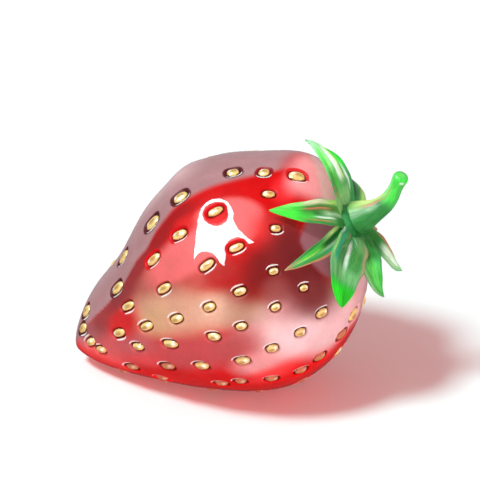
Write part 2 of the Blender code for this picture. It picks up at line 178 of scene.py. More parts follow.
# Finer meshes
# The skin's slow waves: share, turns round the core, run along it and start; their swell's run and start
SKIN_WAVES = ((1.0, 3, 11, 0.0, 9, 1.0), (0.7, 5, -17, 2.0, 14, 0.0))
SKIN_WAVE_HEIGHT = 0.05 * MM
SKIN_POINTS = 20000
# Rings of points in and round each pit, in millimetres from the seed's edge
PIT_RINGS = (-0.40, -0.16, 0.0, 0.08, 0.15, 0.22, 0.28, 0.34, 0.40, 0.46, 0.54, 0.64, 0.75, 0.87)
PIT_SIDES = 56
PIT_WALL = 0.42 * MM
# From a seed's edge: where the gloss starts and is full, and where the evenly spread points start
PIT_DULL = 0.48 * MM, 0.64 * MM
SKIN_CLEARANCE = 0.98 * MM
# How far apart two seeds may be for their pits to meet
NEIGHBOUR_REACH = 5.0 * MM
# The gold seeds' size as a share of the solid ones'
GOLD_LENGTH = 0.92
GOLD_WIDTH = 0.86
OVAL_POWER = 2 / 2.6

# Colours as the screen shows them
SKIN_RED = (214, 8, 11)

# The camera, straight from the photograph's frame
CAMERA_AZIMUTH = math.radians(12.7)
CAMERA_ELEVATION = math.radians(28)
FRAME_PIXELS = 480
PIXELS_PER_MM = 7.5
ORIGIN_PIXEL = (242.1, 378.6)


def linear(colour):
    """A screen colour from 0 to 255 as the linear one that the shader takes, by the usual curve."""
    share = np.asarray(colour, float) / 255
    return np.where(share <= 0.04045, share / 12.92, ((share + 0.055) / 1.055) ** 2.4)


def smooth(value, low, high):
    """A soft step from 0 at low to 1 at high."""
    share = np.clip((value - low) / (high - low), 0, 1)
    return share * share * (3 - 2 * share)


def within(value, edges):
    """1 between the two middle edges, falling softly to 0 at the outer ones."""
    return smooth(value, *edges[:2]) * (1 - smooth(value, *edges[2:]))


def bell(value, middle, spread):
    """The bell curve, 1 at its middle."""
    return np.exp(-(((value - middle) / spread) ** 2) / 2)


def full_turn(sides):
    """That many angles, evenly round a full turn."""
    return 2 * np.pi * np.arange(sides) / sides


def turned_from(angle, other):
    """The signed turn from other to angle, within half a turn."""
    return np.remainder(angle - other + np.pi, 2 * np.pi) - np.pi


class Profile:
    """The fruit's radius, arc length and spread of area along its core, from the tip to the crown."""

    def __init__(self):
        swing = np.linspace(0.0, math.pi, PROFILE_STEPS)
        self.place = POLE + (1 - 2 * POLE) * (1 - np.cos(swing)) / 2
        share = self.place**TIP_POWER * (1 - self.place**SHOULDER_START) ** SHOULDER_POWER
        self.radius = FRUIT_RADIUS * share / share.max()
        sunk = CROWN_SINK * np.exp(-((self.radius / CROWN_SINK_RADIUS) ** 2)) * (self.place > UPPER_HALF)
        self.height = FRUIT_LENGTH * self.place - sunk
        steps = np.hypot(np.diff(self.radius), np.diff(self.height))
        between = (self.radius[1:] + self.radius[:-1]) / 2
        self.arc = np.concatenate([[0.0], np.cumsum(steps)])
        self.area = np.concatenate([[0.0], np.cumsum(steps * between)])
        # Mercator's measure, by which a turned surface maps onto a flat one without shearing
        stretch = np.concatenate([[0.0], np.cumsum(steps / between)])
        self.stretch = stretch - np.interp(self.arc[-1] / 2, self.arc, stretch)

    def radius_at(self, place):
        return np.interp(place, self.place, self.radius)

    def height_at(self, place):
        return np.interp(place, self.place, self.height)

    def arc_at(self, place):
        return np.interp(place, self.place, self.arc)

    def place_at_arc(self, arc):
        return np.interp(arc, self.arc, self.place)

    def place_at_area(self, share):
        return np.interp(share * self.area[-1], self.area, self.place)

    def map_radius(self, place):
        """The distance from the tip in a flat map that keeps small shapes."""
        return np.exp(np.interp(place, self.place, self.stretch))

    def outward(self, place):
        """The skin's direction there, as its share away from the core and its share along it."""
        run = np.interp(place, self.place, np.gradient(self.radius, self.arc))
        rise = np.interp(place, self.place, np.gradient(self.height, self.arc))
        length = np.hypot(run, rise)
        return rise / length, -run / length


PROFILE = Profile()


def top_side(place, angle):
    """How far the top side stands out from the turned body."""
    out = 0.0
    for middle, length, height in TOP_SWELLS:
        out = out + height * bell(place, middle, length)
    return out * np.clip(np.cos(angle - TOP_ANGLE), 0, 1) ** 2


def belly(place, angle):
    """How far the belly stands out from the turned body."""
    along = bell(place, BELLY_PLACE, BELLY_LENGTH)
    return BELLY_BULGE * along * np.clip(-np.cos(angle), 0, 1) ** BELLY_POWER


def shoulder(place, radius, angle):
    """How far the shoulder swells out on the top side, fading to nothing at the crown's middle."""
    along = bell(place, SHOULDER_PLACE, SHOULDER_LENGTH)
    fade = 1 - np.exp(-((radius / SHOULDER_FADE) ** 2))
    return SHOULDER_SWELL * along * fade * np.clip(np.cos(angle - SHOULDER_ANGLE), 0, 1) ** 2


def outline(place, angle, lift=0.0):
    """The skin's distance from the core and its height along it, at that place or that far off it."""
    out, along = PROFILE.outward(place)
    turned = PROFILE.radius_at(place)
    lift = lift + shoulder(place, turned, angle)
    radius = turned + top_side(place, angle) + belly(place, angle) + lift * out
    return radius, PROFILE.height_at(place) + lift * along


def skin(place, angle, lift=0.0):
    """Points of the skin, or that far off it, in the fruit's own frame."""
    radius, height = outline(place, angle, lift)
    return np.stack([radius * np.cos(angle), radius * np.sin(angle), height], axis=-1)


def height_above_ground(points):
    """How high points stand along the world's upright, before the whole is set down."""
    return points[..., 0] * math.cos(TILT) + points[..., 2] * math.sin(TILT)


# The level of the table: the belly's lowest point, plus what the flat spot takes off
GROUND = height_above_ground(skin(np.linspace(*LYING_PLACES, LYING_STEPS), np.pi)).min() + FLAT_DEPTH


def press_flat(points, rim=0.0):
    """Moves the points that lie below the table, or that little above it, onto it."""
    short = GROUND - height_above_ground(points)
    moved = np.where(short > -rim, short, 0)
    points[:, 0] += moved * math.cos(TILT)
    points[:, 2] += moved * math.sin(TILT)


def in_world(points):
    """Points of the fruit's own frame as world points."""
    turn = np.array(CORE.to_3x3())
    return np.asarray(points) @ turn.T + np.array(CORE.translation)


def undulation(place, angle):
    """The slow unevenness of a grown skin."""
    wave = 0.0
    for share, turns, runs, start, swells, swell_start in SKIN_WAVES:
        swell = np.sin(swells * place + swell_start)
        wave = wave + share * np.sin(turns * angle + runs * place + start) * swell
    return SKIN_WAVE_HEIGHT * wave * np.sin(np.pi * place) ** 2


def grown_skin(place, angle, lift=0.0):
    """Points of the skin with its unevenness."""
    return skin(place, angle, lift + undulation(place, angle))


def skin_normal(place, angle, step=4e-3):
    """The skin's outward direction there, in the fruit's own frame, from points a small step away."""
    along = grown_skin(place + step, angle) - grown_skin(place - step, angle)
    around = grown_skin(place, angle + step) - grown_skin(place, angle - step)
    normal = np.cross(around, along)
    return normal / np.linalg.norm(normal)


def seen_seed(column, row):
    """How far a seed is moved along the core and round it, and its shape if the photograph shows it."""
    rows = SEEN_SEEDS.get(column, ())
    further, rounder, *shape = rows[row] if row < len(rows) else (0, 0)
    return further, rounder, shape


def seed_places():
    """Every seed: its place along the core, its angle round it, and its column and row."""
    draw = random.Random(SEED_DRAW)
    places = []
    for number, (degrees, lone, first, step) in enumerate(SEED_COLUMNS):
        start = math.radians(degrees)
        turned = math.atan2(math.sin(start - SEED_FACING), math.cos(start - SEED_FACING))
        count = int((SEED_LAST - first) / step) + 1
        column = [first + step * i for i in range(count)]
        if lone is not None:
            column.insert(0, lone)
        for row, place in enumerate(column):
            crowded = abs(turned) > math.pi - SEED_CROWDED and place > SEED_CROWDED_PLACE
            if crowded and number % 2:
                continue
            angle = start + SEED_FAN * (place - SEED_FAN_START) * math.sin(turned)
            place += draw.uniform(-SEED_JITTER, SEED_JITTER) / FRUIT_LENGTH
            angle += draw.uniform(-SEED_JITTER, SEED_JITTER) / PROFILE.radius_at(place)
            further, rounder, _ = seen_seed(number, row)
            place += further
            angle += math.radians(rounder)
            if height_above_ground(skin(place, angle)) > GROUND + FLAT_MARGIN:
                places.append((place, angle, (number, row)))
    return places


def oval(swing):
    """A capsule-like closed line: its run along the seed and across it, each from -1 to 1."""
    along, across = np.cos(swing), np.sin(swing)
    return np.sign(along) * abs(along) ** OVAL_POWER, np.sign(across) * abs(across) ** OVAL_POWER


def ring_faces(first, second, sides, flip=False):
    """Faces between two rings of points, given by the number of each ring's first point."""
    faces = []
    for column in range(sides):
        after = (column + 1) % sides
        face = (first + column, second + column, second + after, first + after)
        faces.append(face[:1] + face[:0:-1] if flip else face)
    return faces


def tube_faces(first, rings, sides, flip=False):
    """Faces between that many rings of points, one after the other."""
    faces = []
    for ring in range(first, first + (rings - 1) * sides, sides):
        faces.extend(ring_faces(ring, ring + sides, sides, flip))
    return faces


def fan_faces(middle, ring, sides, flip=False):
    """Faces between a point and a ring of points round it."""
    faces = [(middle, ring + column, ring + (column + 1) % sides) for column in range(sides)]
    return [face[::-1] for face in faces] if flip else faces


def added(name, data):
    """A new object in the scene."""
    made = bpy.data.objects.new(name, data)
    bpy.context.scene.collection.objects.link(made)
    return made


def new_mesh_object(name, points, faces, colours, gloss=1.0):
    """A smooth object from world points, with its colours and its gloss laid on its points."""
    mesh = bpy.data.meshes.new(name)
    mesh.from_pydata([tuple(point) for point in points], [], [tuple(face) for face in faces])
    paint = mesh.color_attributes.new("paint", "FLOAT_COLOR", "POINT")
    full = np.concatenate([np.asarray(colours, float), np.broadcast_to(gloss, len(points))[:, None]], axis=1)
    paint.data.foreach_set("color", full.astype(np.float32).ravel())
    mesh.shade_smooth()
    return added(name, mesh)


def add_grain(made, values):
    """Where each point lies along and across the fibres, for the material's noise."""
    layer = made.data.attributes.new("grain", "FLOAT_VECTOR", "POINT")
    layer.data.foreach_set("vector", np.asarray(values, np.float32).ravel())


def stands_for(made, node, material):
    made.data.materials.append(material)
    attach(made, "root")
    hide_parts(node)


# The skin's colours

# Soft patches of colour: their middle's place along the core and angle round it, half their length and
# width in millimetres, how far they lean, the share at full strength, the strength and the colour. Some
# are painted light: the dark maroon ones under the calyx are painted shade, the salmon ones round the
# window's reflection a painted glow, the pale pink ones on the lower side painted reflections of the
# floor and the tan ones on the front painted reflections of warm bounce light.
PATCHES = (
    (0.4, 103, 12.5, 3.4, 0, 0.5, 1, (202, 78, 81)), (0.24, 102, 4.8, 2.5, 0, 0.3, 0.9, (230, 76, 80)),
    (0.3, 124, 7.6, 2.4, 0, 0.4, 1, (216, 14, 16)), (0.09, 108, 4.8, 3.8, 0, 0.5, 1, (255, 103, 105)),
    (0.18, 84, 4.6, 1.9, 0, 0.3, 0.9, (214, 92, 96)), (0.28, 86, 3.2, 1.9, 0, 0.3, 0.8, (190, 100, 104)),
    (0.12, 62, 4.6, 1.5, 0, 0.4, 1, (172, 90, 92)), (0.045, 60, 1.7, 1.6, 0, 0.3, 0.9, (218, 122, 126)),
    (0.015, 84, 1.8, 1.6, 0, 0.4, 0.9, (255, 88, 92)), (0.2, 58, 3.4, 1.5, 0, 0.4, 1, (160, 60, 62)),
    (0.43, 61, 7, 3.8, 8, 0.4, 1, (180, 90, 78)), (0.47, 77, 9, 3, 12, 0.45, 1, (222, 158, 132)),
    (0.4, 76, 2.8, 2.1, 0, 0.2, 0.8, (212, 160, 120)), (0.27, 68, 3.4, 2.3, 0, 0.4, 1, (214, 38, 40)),
    (0.625, 84, 3.9, 2.3, 12, 0.35, 1, (228, 172, 148)),
    (0.7, 93, 3.4, 2.2, 12, 0.35, 0.95, (188, 138, 116)), (0.3, 50, 4.4, 1.5, -6, 0.4, 1, (150, 54, 57)),
    (0.41, 42.5, 4.8, 1.2, -10, 0.4, 1, (156, 48, 50)), (0.52, 35, 3.4, 1.3, -12, 0.3, 0.9, (160, 30, 32)),
    (0.6, 29, 2.6, 1, -8, 0.3, 0.8, (160, 20, 24)), (0.6, 52, 8.2, 2.9, -3, 0.7, 1, (240, 108, 108)),
    (0.735, 44, 5.3, 3.9, 0, 0.86, 1, (243, 106, 107)), (0.715, 37, 1.75, 1.75, 0, 0.88, 1, (226, 12, 20)),
    (0.738, 67.5, 3.3, 1.9, 8, 0.4, 1, (208, 8, 10)), (0.84, 55, 2.6, 2.4, 0, 0.3, 0.9, (232, 50, 50)),
    (0.73, 80, 3, 2.2, 8, 0.3, 0.9, (146, 34, 32)), (0.645, 67, 2.6, 1.3, 6, 0.3, 0.8, (214, 110, 104)),
    (0.68, 69, 3.2, 1.9, 10, 0.4, 0.9, (178, 32, 30)), (0.615, 38, 1.7, 1.3, 0, 0.4, 0.9, (228, 28, 28)),
    (0.65, 102, 2.4, 1.8, 0, 0.3, 0.7, (206, 120, 118)), (0.88, 25, 1.4, 2, 0, 0.4, 0.8, (255, 47, 51)),
    (0.885, 63, 1.2, 2.4, 0, 0.4, 0.8, (128, 36, 38)), (0.76, 115, 5.4, 4.8, 0, 0.5, 1, (240, 192, 190)),
    (0.83, 137, 5, 5.6, 25, 0.5, 1, (239, 189, 190)), (0.75, 119, 3, 2.6, 0, 0.2, 0.8, (248, 206, 210)),
    (0.87, 163, 3.6, 6.5, 0, 0.45, 0.9, (240, 186, 188)), (0.6, 106, 3.4, 2.2, 0, 0.3, 0.8, (186, 82, 84)),
    (0.61, 122, 3.4, 2.3, 0, 0.3, 0.9, (243, 164, 165)), (0.61, 135, 3.8, 1.8, 0, 0.2, 0.9, (255, 62, 64)),
    (0.8, 99, 2.6, 2.6, 0, 0.3, 0.8, (186, 118, 118)), (0.8, 77, 3.4, 3.5, 0, 0.4, 1, (126, 28, 28)),
    (0.865, 88, 3.2, 7.6, 0, 0.5, 1, (119, 34, 36)), (0.79, 89, 1.8, 1.6, 0, 0.3, 0.7, (152, 78, 74)),
    (0.85, 107, 2.8, 3, 0, 0.3, 0.8, (122, 50, 50)), (0.66, 157, 5, 4.3, 0, 0.5, 1, (238, 14, 16)),
    (0.775, 172, 3.4, 4, 0, 0.5, 1, (232, 24, 28)), (0.6, -60, 12, 7, 0, 0.3, 0.75, (150, 40, 44)),
    (0.55, -95, 11, 6, 10, 0.3, 0.85, (236, 96, 98)), (0.5, -125, 9, 5, -8, 0.3, 0.8, (212, 120, 112)),
    (0.72, -128, 6, 6, 0, 0.3, 0.8, (246, 178, 176)), (0.2, -100, 7, 6, 0, 0.2, 0.8, (208, 92, 96)),
    (0.83, -85, 5, 8, 12, 0.3, 0.8, (128, 40, 44)), (0.45, 180, 9, 6, 0, 0.3, 0.6, (196, 30, 34)),
)
# The mauve sheen on top, a painted reflection of the pale surroundings: the angle where it starts at each
# place along the core, on either side
SHEEN_PLACES = (0.0, 0.10, 0.20, 0.30, 0.40, 0.45, 0.50, 0.55, 0.60, 0.66, 0.75, 0.80, 0.85, 0.90)
SHEEN_NEAR = (52, 48, 49, 46, 38, 36.5, 31, 29, 25, 22.5, 18.5, 15.5, 12, 0)
SHEEN_FAR = (-60, -56, -53, -50, -47, -46, -45, -44, -43, -42, -40, -40, -40, -40)
PAINTED_SHEEN_COLOUR = (182, 130, 133)
PAINTED_SHEEN_PALE = (234, 184, 186)
# How softly the sheen starts, in degrees, and how much softer from the middle to the crown
SHEEN_EDGE = -1.0, 1.5
SHEEN_SOFTER = 3.0
SHEEN_SOFTER_PLACES = 0.45, 0.6
SHEEN_FAR_EDGE = -4, 16
SHEEN_END = 0.85, 0.90
# The pale part of the painted sheen: where it rises and falls, along the core and in degrees round it
PALE_PLACES = 0.34, 0.46, 0.56, 0.68
PALE_TURNS = -50, -20, -6, 14
# The crown's end face: where it starts along the core at each angle round it, and its colours. Under the
# sepals, its greyish mauve and its darker part are painted shade, the pink on its lower side is a painted
# reflection of the floor and the lit part near the top is painted light.
END_TURNS = (-180, -60, -30, -15, 0, 10, 50, 68, 88, 105, 130, 180)
END_STARTS = (0.9, 0.885, 0.895, 0.925, 0.943, 0.952, 0.925, 0.893, 0.893, 0.9, 0.92, 0.9)
END_FACE = (184, 128, 134)
END_PAINTED_SHADE = (156, 96, 106)
END_PINK = (236, 178, 184)
END_RIM = (251, 154, 157)
END_LIT = (236, 172, 175)
# Where the end's colours start, along the core or in degrees round it or to either side of the top, and
# how softly the face does
RIM_PLACES = 0.87, 0.905
RIM_TURNS = -60, -20, 14, 34
END_PAINTED_SHADE_TURNS = 25, 50
END_PINK_TURNS = 112, 140
END_LIT_MIDDLE = -12
END_LIT_TURNS = 18, 34
END_SOFT = -0.004, 0.006
# Brighter red low on the fruit, painted light that makes up for the shade on the underside, and the heights
# over which it fades
BELLY_RED_PAINTED_LIGHT = (255, 10, 12)
BELLY_HEIGHTS = 1.5 * MM, 5.5 * MM


def plain(colour, count):
    """One colour for that many points."""
    return np.tile(linear(colour), (count, 1))


def laid_over(base, mask, colour):
    """The base colours with another laid over them by a mask."""
    return base + (linear(colour) - base) * np.asarray(mask)[..., None]


# Where the sheen, a reflection painted on as colour, covers the skin
def painted_sheen_mask(place, angle):
    degrees = np.degrees(turned_from(angle, 0))
    near = np.interp(place, SHEEN_PLACES, SHEEN_NEAR)
    far = np.interp(place, SHEEN_PLACES, SHEEN_FAR)
    low, high = SHEEN_EDGE
    mask = smooth(near - degrees, low, high + SHEEN_SOFTER * smooth(place, *SHEEN_SOFTER_PLACES))
    return mask * smooth(degrees - far, *SHEEN_FAR_EDGE) * (1 - smooth(place, *SHEEN_END))


def skin_colour(place, angle, world_height):
    """The skin's colour between the pits, as linear red, green and blue, with its painted light and shade.
    """
    colour = plain(SKIN_RED, len(place))
    arc = PROFILE.arc_at(place)
    for middle, degrees, half_length, half_width, lean, full, strength, patch in PATCHES:
        along = (arc - PROFILE.arc_at(middle)) / MM
        nearby = (PROFILE.radius_at(place) + PROFILE.radius_at(middle)) / 2
        around = turned_from(angle, math.radians(degrees)) * nearby / MM
        tip = math.radians(lean)
        run = (along * math.cos(tip) + around * math.sin(tip)) / half_length
        side = (around * math.cos(tip) - along * math.sin(tip)) / half_width
        mask = strength * (1 - smooth(np.hypot(run, side), full, 2 - full))
        colour = laid_over(colour, mask, patch)
    # Painted light: brighter red near the table, where shade falls
    colour = laid_over(colour, 1 - smooth(world_height, *BELLY_HEIGHTS), BELLY_RED_PAINTED_LIGHT)
    degrees = np.degrees(turned_from(angle, 0))
    # Painted reflection: the mauve sheen over the top, paler in its middle
    painted_sheen = painted_sheen_mask(place, angle)
    colour = laid_over(colour, painted_sheen, PAINTED_SHEEN_COLOUR)
    pale = painted_sheen * within(degrees, PALE_TURNS) * within(place, PALE_PLACES)
    colour = laid_over(colour, pale, PAINTED_SHEEN_PALE)
    colour = laid_over(colour, smooth(place, *RIM_PLACES) * within(degrees, RIM_TURNS), END_RIM)
    # The end face: painted shade, with a painted reflection below and painted light near the top
    face = plain(END_FACE, len(place))
    face = laid_over(face, smooth(abs(degrees), *END_PAINTED_SHADE_TURNS), END_PAINTED_SHADE)
    face = laid_over(face, smooth(abs(degrees), *END_PINK_TURNS), END_PINK)
    face = laid_over(face, 1 - smooth(abs(degrees - END_LIT_MIDDLE), *END_LIT_TURNS), END_LIT)
    start = np.interp(degrees, END_TURNS, END_STARTS)
    return colour + (face - colour) * smooth(place - start, *END_SOFT)[:, None]


# The fruit's skin

# Seeds that the red below shines on, reddened as painted light, by column and row
SEEDS_RED = ((5, 0), (5, 1), (6, 1), (6, 2), (6, 3), (6, 4), (6, 5), (6, 6))
# Seeds without a painted white glint on their pit's rim
SEEDS_UNLIT = ((1, 4), (1, 5), (6, 5), (6, 6), (6, 7))
# At places along the core, the angle round it up to which a pit's painted glint lies below its seed
GLINT_PLACES = (0.0, 0.15, 0.2, 0.3, 0.45, 0.9)
GLINT_TURNS = (70, 70, 77, 76, 71, 62)
# A painted glint's middle in upper and in lower pits and its half span round the pit, in degrees, and its
# distance from the seed, half width and softness in millimetres
GLINT_UPPER = 80
GLINT_LOWER = -100
GLINT_SPAN = 58
GLINT_OFF = 0.37
GLINT_HALF = 0.085
GLINT_HALF_SHEEN = 0.13
GLINT_SHEEN_TURN = 30
GLINT_SOFT = 0.03
PAINTED_GLINT_WHITE = (255, 252, 250)
# The dark line round each seed, painted shade where the seed meets its pit, in millimetres: a deep red
# with some of the skin's own colour
LINE_SHADE_COLOUR = (60, 16, 14)
LINE_TINT = 0.16
LINE_STRENGTH = 0.9
LINE_REACH = 0.13
LINE_SHADED = 0.09
LINE_SOFT = 0.05, 0.06
# Halos round the pits, the dark ones painted shade in the pits and the red ones keeping the painted glow
# and sheen off them: colour, reach in millimetres and strength
HALO_CROWN = (150, 26, 36), 0.52, 0.95
HALO_CROWN_END = (216, 30, 36), 0.52, 0.95
HALO_SHEEN = (84, 18, 30), 0.56, 0.95
HALO_SHEEN_TIP = (84, 18, 30), 0.48, 0.95
HALO_FRONT = (208, 14, 22), 0.56, 0.95
HALO_UPPER = (150, 30, 36), 0.28, 0.7
HALO_RED = (122, 24, 24), 0.30, 0.85
HALO_LOWER = (150, 58, 54), 0.22, 0.5
HALO_SOFT = 0.12, 0.06
# How much further the halos in the sheen reach on the glint's side, in millimetres
HALO_SHEEN_LOWER = 0.16
# Where the halos of the crown and the front lie, along the core and in degrees from the top
CROWN_PLACE = 0.8
CROWN_END_PLACE = 0.88
CROWN_TURN = 20
SHEEN_TIP_PLACE = 0.4
FRONT_TURN = 59
# Seeds on the far side that stand less proud, in degrees round the core
FAR_TURNS = -90, -8
# Unseen seeds: how their size and, in degrees, their turn vary by a seeded draw
SIZE_DRAW = 5
SEED_GROWN = 0.97, 1.16
SEED_TURN = 13
# Distances off a seed's edge: of its pit's middle, and the one given to points clear of all pits
PIT_MIDDLE = -0.6 * MM
CLEAR_OF_PITS = 9 * MM
LEAST_SHARE = 1e-3


class Seed:
    """One seed: where it stands, its size and turn, and how its pit is coloured."""

    def __init__(self, place, angle, key, draw):
        self.place = place
        self.angle = angle
        grown = draw.uniform(*SEED_GROWN)
        length = 2 * SEED_HALF_LENGTH / MM * grown * GOLD_LENGTH
        width = 2 * SEED_HALF_WIDTH / MM * grown * GOLD_WIDTH
        turn = draw.uniform(-SEED_TURN, SEED_TURN)
        length, width, turn = seen_seed(*key)[2] or (length, width, turn)
        self.half_length = length * MM / 2
        self.half_width = width * MM / 2
        self.turn = math.radians(turn)
        self.arc = PROFILE.arc_at(place)
        self.radius = PROFILE.radius_at(place)
        self.centre = in_world(skin(place, angle))
        degrees = math.degrees(turned_from(angle, 0))
        self.upper = abs(degrees) < np.interp(place, GLINT_PLACES, GLINT_TURNS)
        self.lit = key not in SEEDS_UNLIT
        self.reddened = key in SEEDS_RED
        self.far = FAR_TURNS[0] < degrees < FAR_TURNS[1]
        self.down = 1 if degrees > 0 else -1
        in_sheen = painted_sheen_mask(place, angle) > 0.5
        self.glint_half = GLINT_HALF_SHEEN if in_sheen and degrees < GLINT_SHEEN_TURN else GLINT_HALF
        self.lower = HALO_SHEEN_LOWER if in_sheen else 0.0
        self.halo = self.halo_at(place, abs(degrees), in_sheen)

    def halo_at(self, place, degrees, in_sheen):
        if self.upper and place > CROWN_PLACE and degrees < CROWN_TURN:
            return HALO_CROWN if place < CROWN_END_PLACE else HALO_CROWN_END
        if in_sheen:
            return HALO_SHEEN if place > SHEEN_TIP_PLACE else HALO_SHEEN_TIP
        if SHEEN_TIP_PLACE < place < CROWN_PLACE and degrees < FRONT_TURN:
            return HALO_FRONT
        if self.upper:
            return HALO_UPPER
        return HALO_RED if self.reddened else HALO_LOWER

    def at(self, along, across):
        """The place and angle of a point beside the seed, given in metres along and across it."""
        run = along * math.cos(self.turn) - across * math.sin(self.turn)
        side = along * math.sin(self.turn) + across * math.cos(self.turn)
        place = PROFILE.place_at_arc(self.arc + run)
        return place, self.angle + side / self.radius

    def beside(self, place, angle):
        """The reverse: metres along and across the seed of points on the skin."""
        run = PROFILE.arc_at(place) - self.arc
        side = turned_from(angle, self.angle) * self.radius
        along = run * math.cos(self.turn) + side * math.sin(self.turn)
        across = side * math.cos(self.turn) - run * math.sin(self.turn)
        return along, across

    def beyond(self, place, angle):
        """How far points on the skin lie beyond the seed's edge, towards its middle."""
        along, across = self.beside(place, angle)
        share = np.hypot(along / self.half_length, across / self.half_width)
        return (1 - 1 / np.maximum(share, LEAST_SHARE)) * np.hypot(along, across)


def pit_lift(off):
    """How far the skin lies off its level in a pit, by the distance from the seed's edge."""
    return -PIT_DEPTH * (1 - smooth(off, 0, PIT_WALL))


def fading(off, reach, soft):
    """1 up to about that reach, falling to 0 a little beyond it."""
    return 1 - smooth(off, reach - soft[0], reach + soft[1])


def pit_colour(seed, colours, off, across, along):
    """The skin's colours in and round one pit: a halo, its dark ones painted shade, a dark line of painted
    shade and a painted white glint on the rim.
    """
    off = off / MM
    swing = np.arctan2(across * seed.down, along)
    middle = math.radians(GLINT_UPPER if seed.upper else GLINT_LOWER)
    facing = np.cos(turned_from(swing, middle))
    colour, reach, strength = seed.halo
    halo = strength * fading(off, reach + seed.lower * facing, HALO_SOFT)
    colours = laid_over(colours, halo, colour)
    line = LINE_STRENGTH * fading(off, LINE_REACH + LINE_SHADED * np.clip(facing, 0, 1), LINE_SOFT)
    colours = colours + (linear(LINE_SHADE_COLOUR) + LINE_TINT * colours - colours) * line[:, None]
    away = np.clip(abs(turned_from(swing, middle)) / math.radians(GLINT_SPAN), 0, 1)
    half = seed.glint_half * np.sqrt(1 - away**2)
    glint = fading(abs(off - GLINT_OFF), half, (GLINT_SOFT, GLINT_SOFT))
    return laid_over(colours, glint * (away < 1) * seed.lit, PAINTED_GLINT_WHITE)


def triangulated(place, angle):
    """Faces between points of the skin: Delaunay's, in the flat map that keeps small shapes."""
    reach = PROFILE.map_radius(place)
    flat = [Vector(point) for point in zip(reach * np.cos(angle), reach * np.sin(angle))]
    _, _, found, sources, _, _ = delaunay_2d_cdt(flat, [], [], 0, 0.0)
    faces = [[sources[corner][0] for corner in reversed(face)] for face in found]
    sides = {(face[i - 1], face[i]) for face in faces for i in range(3)}
    rim = {start for start, end in sides if (end, start) not in sides}
    faces.append(sorted(rim, key=lambda corner: angle[corner] % (2 * math.pi)))
    return faces


def pit_points(number, seed, seeds):
    """Rings of points in and round one pit, apart from those nearer another seed, and its middle."""
    near = [
        other
        for other in seeds
        if other is not seed and math.dist(seed.centre, other.centre) < NEIGHBOUR_REACH
    ]
    swing = full_turn(PIT_SIDES)
    groups = []
    for ring, distance in enumerate(PIT_RINGS):
        off = distance * MM
        run, side = oval(swing + ring % 2 * np.pi / PIT_SIDES)
        run = run * (seed.half_length + off)
        side = side * (seed.half_width + off)
        there = seed.at(run, side)
        mine = np.ones(PIT_SIDES, bool)
        for other in near:
            mine &= other.beyond(*there) > seed.beyond(*there)
        rows = [*there, run, side, np.full(PIT_SIDES, off), np.full(PIT_SIDES, number)]
        groups.append(np.column_stack(rows)[mine])
    groups.append(np.array([[seed.place, seed.angle, 0, 0, PIT_MIDDLE, number]]))
    return np.concatenate(groups)


def build_skin(seeds, material):
    # Even steps of area, each turned on by the golden angle, give evenly spread points
    count = np.arange(SKIN_POINTS)
    place = PROFILE.place_at_area((count + 0.5) / SKIN_POINTS)
    angle = count * math.pi * (3 - math.sqrt(5))
    clear = np.ones(SKIN_POINTS, bool)
    for seed in seeds:
        along, across = seed.beside(place, angle)
        reach = SKIN_CLEARANCE + seed.half_length, SKIN_CLEARANCE + seed.half_width
        clear &= np.hypot(along / reach[0], across / reach[1]) > 1
    rings = np.concatenate([pit_points(number, seed, seeds) for number, seed in enumerate(seeds)])
    place = np.concatenate([place[clear], rings[:, 0]])
    angle = np.concatenate([angle[clear], rings[:, 1]])
    start = clear.sum()
    off = np.concatenate([np.full(start, CLEAR_OF_PITS), rings[:, 4]])
    points = grown_skin(place, angle, pit_lift(off))
    press_flat(points, FLAT_RIM)
    world = in_world(points)

    colours = skin_colour(place, angle, world[:, 2])
    for number, seed in enumerate(seeds):
        row = np.flatnonzero(rings[:, 5] == number)
        mine = start + row
        colours[mine] = pit_colour(seed, colours[mine], off[mine], rings[row, 3], rings[row, 2])

    faces = triangulated(place, angle)
    made = new_mesh_object("fruit_skin", world, faces, colours, smooth(off, *PIT_DULL))
    stands_for(made, "fruit", material)


# The seeds

# Rings of each seed: share of its half length and width, and height off the skin in millimetres
SEED_RISE = (
    (0.0, 0.17), (0.25, 0.16), (0.45, 0.125), (0.62, 0.07),
    (0.76, 0.0), (0.87, -0.09), (0.95, -0.20), (1.0, -0.36),
)
SEED_FAR_SINK = 0.13 * MM
SEED_SIDES = 28
# The seeds' gold and darker heart, a painted glint at one end and, where each sinks into its pit, its edge
# darkened as painted shade
SEED_GOLD = (247, 208, 132)
SEED_HEART = (200, 150, 84)
SEED_PAINTED_GLINT = (255, 248, 232)
SEED_EDGE_SHADE = (120, 62, 36)
# Low seeds, and those listed, reddened as painted red light from the skin below: the colour, the heights
# over which it fades and its strength
SEED_PAINTED_RED_LIGHT = (204, 98, 74)
SEED_RED_HEIGHTS = 3.0 * MM, 6.0 * MM
SEED_RED_STRENGTH = 0.85
# Spots on a seed, as shares of its half length and width: middle, half size and the share at full strength
HEART_SPOT = -0.14, 0.06, 0.64, 0.52, 0.55
GLINT_SPOT = 0.52, -0.22, 0.36, 0.46, 0.45
# How strong they are, and how much of that the red takes away
HEART_STRENGTH = 0.95, 0.35
GLINT_STRENGTH = 0.95, 0.57
EDGE_SHARE = 0.97, 1.03


def spot(run, side, middle_run, middle_side, half_run, half_side, full):
    """A soft oval mask."""
    away = np.hypot((run - middle_run) / half_run, (side - middle_side) / half_side)
    return 1 - smooth(away, full, 1.0)


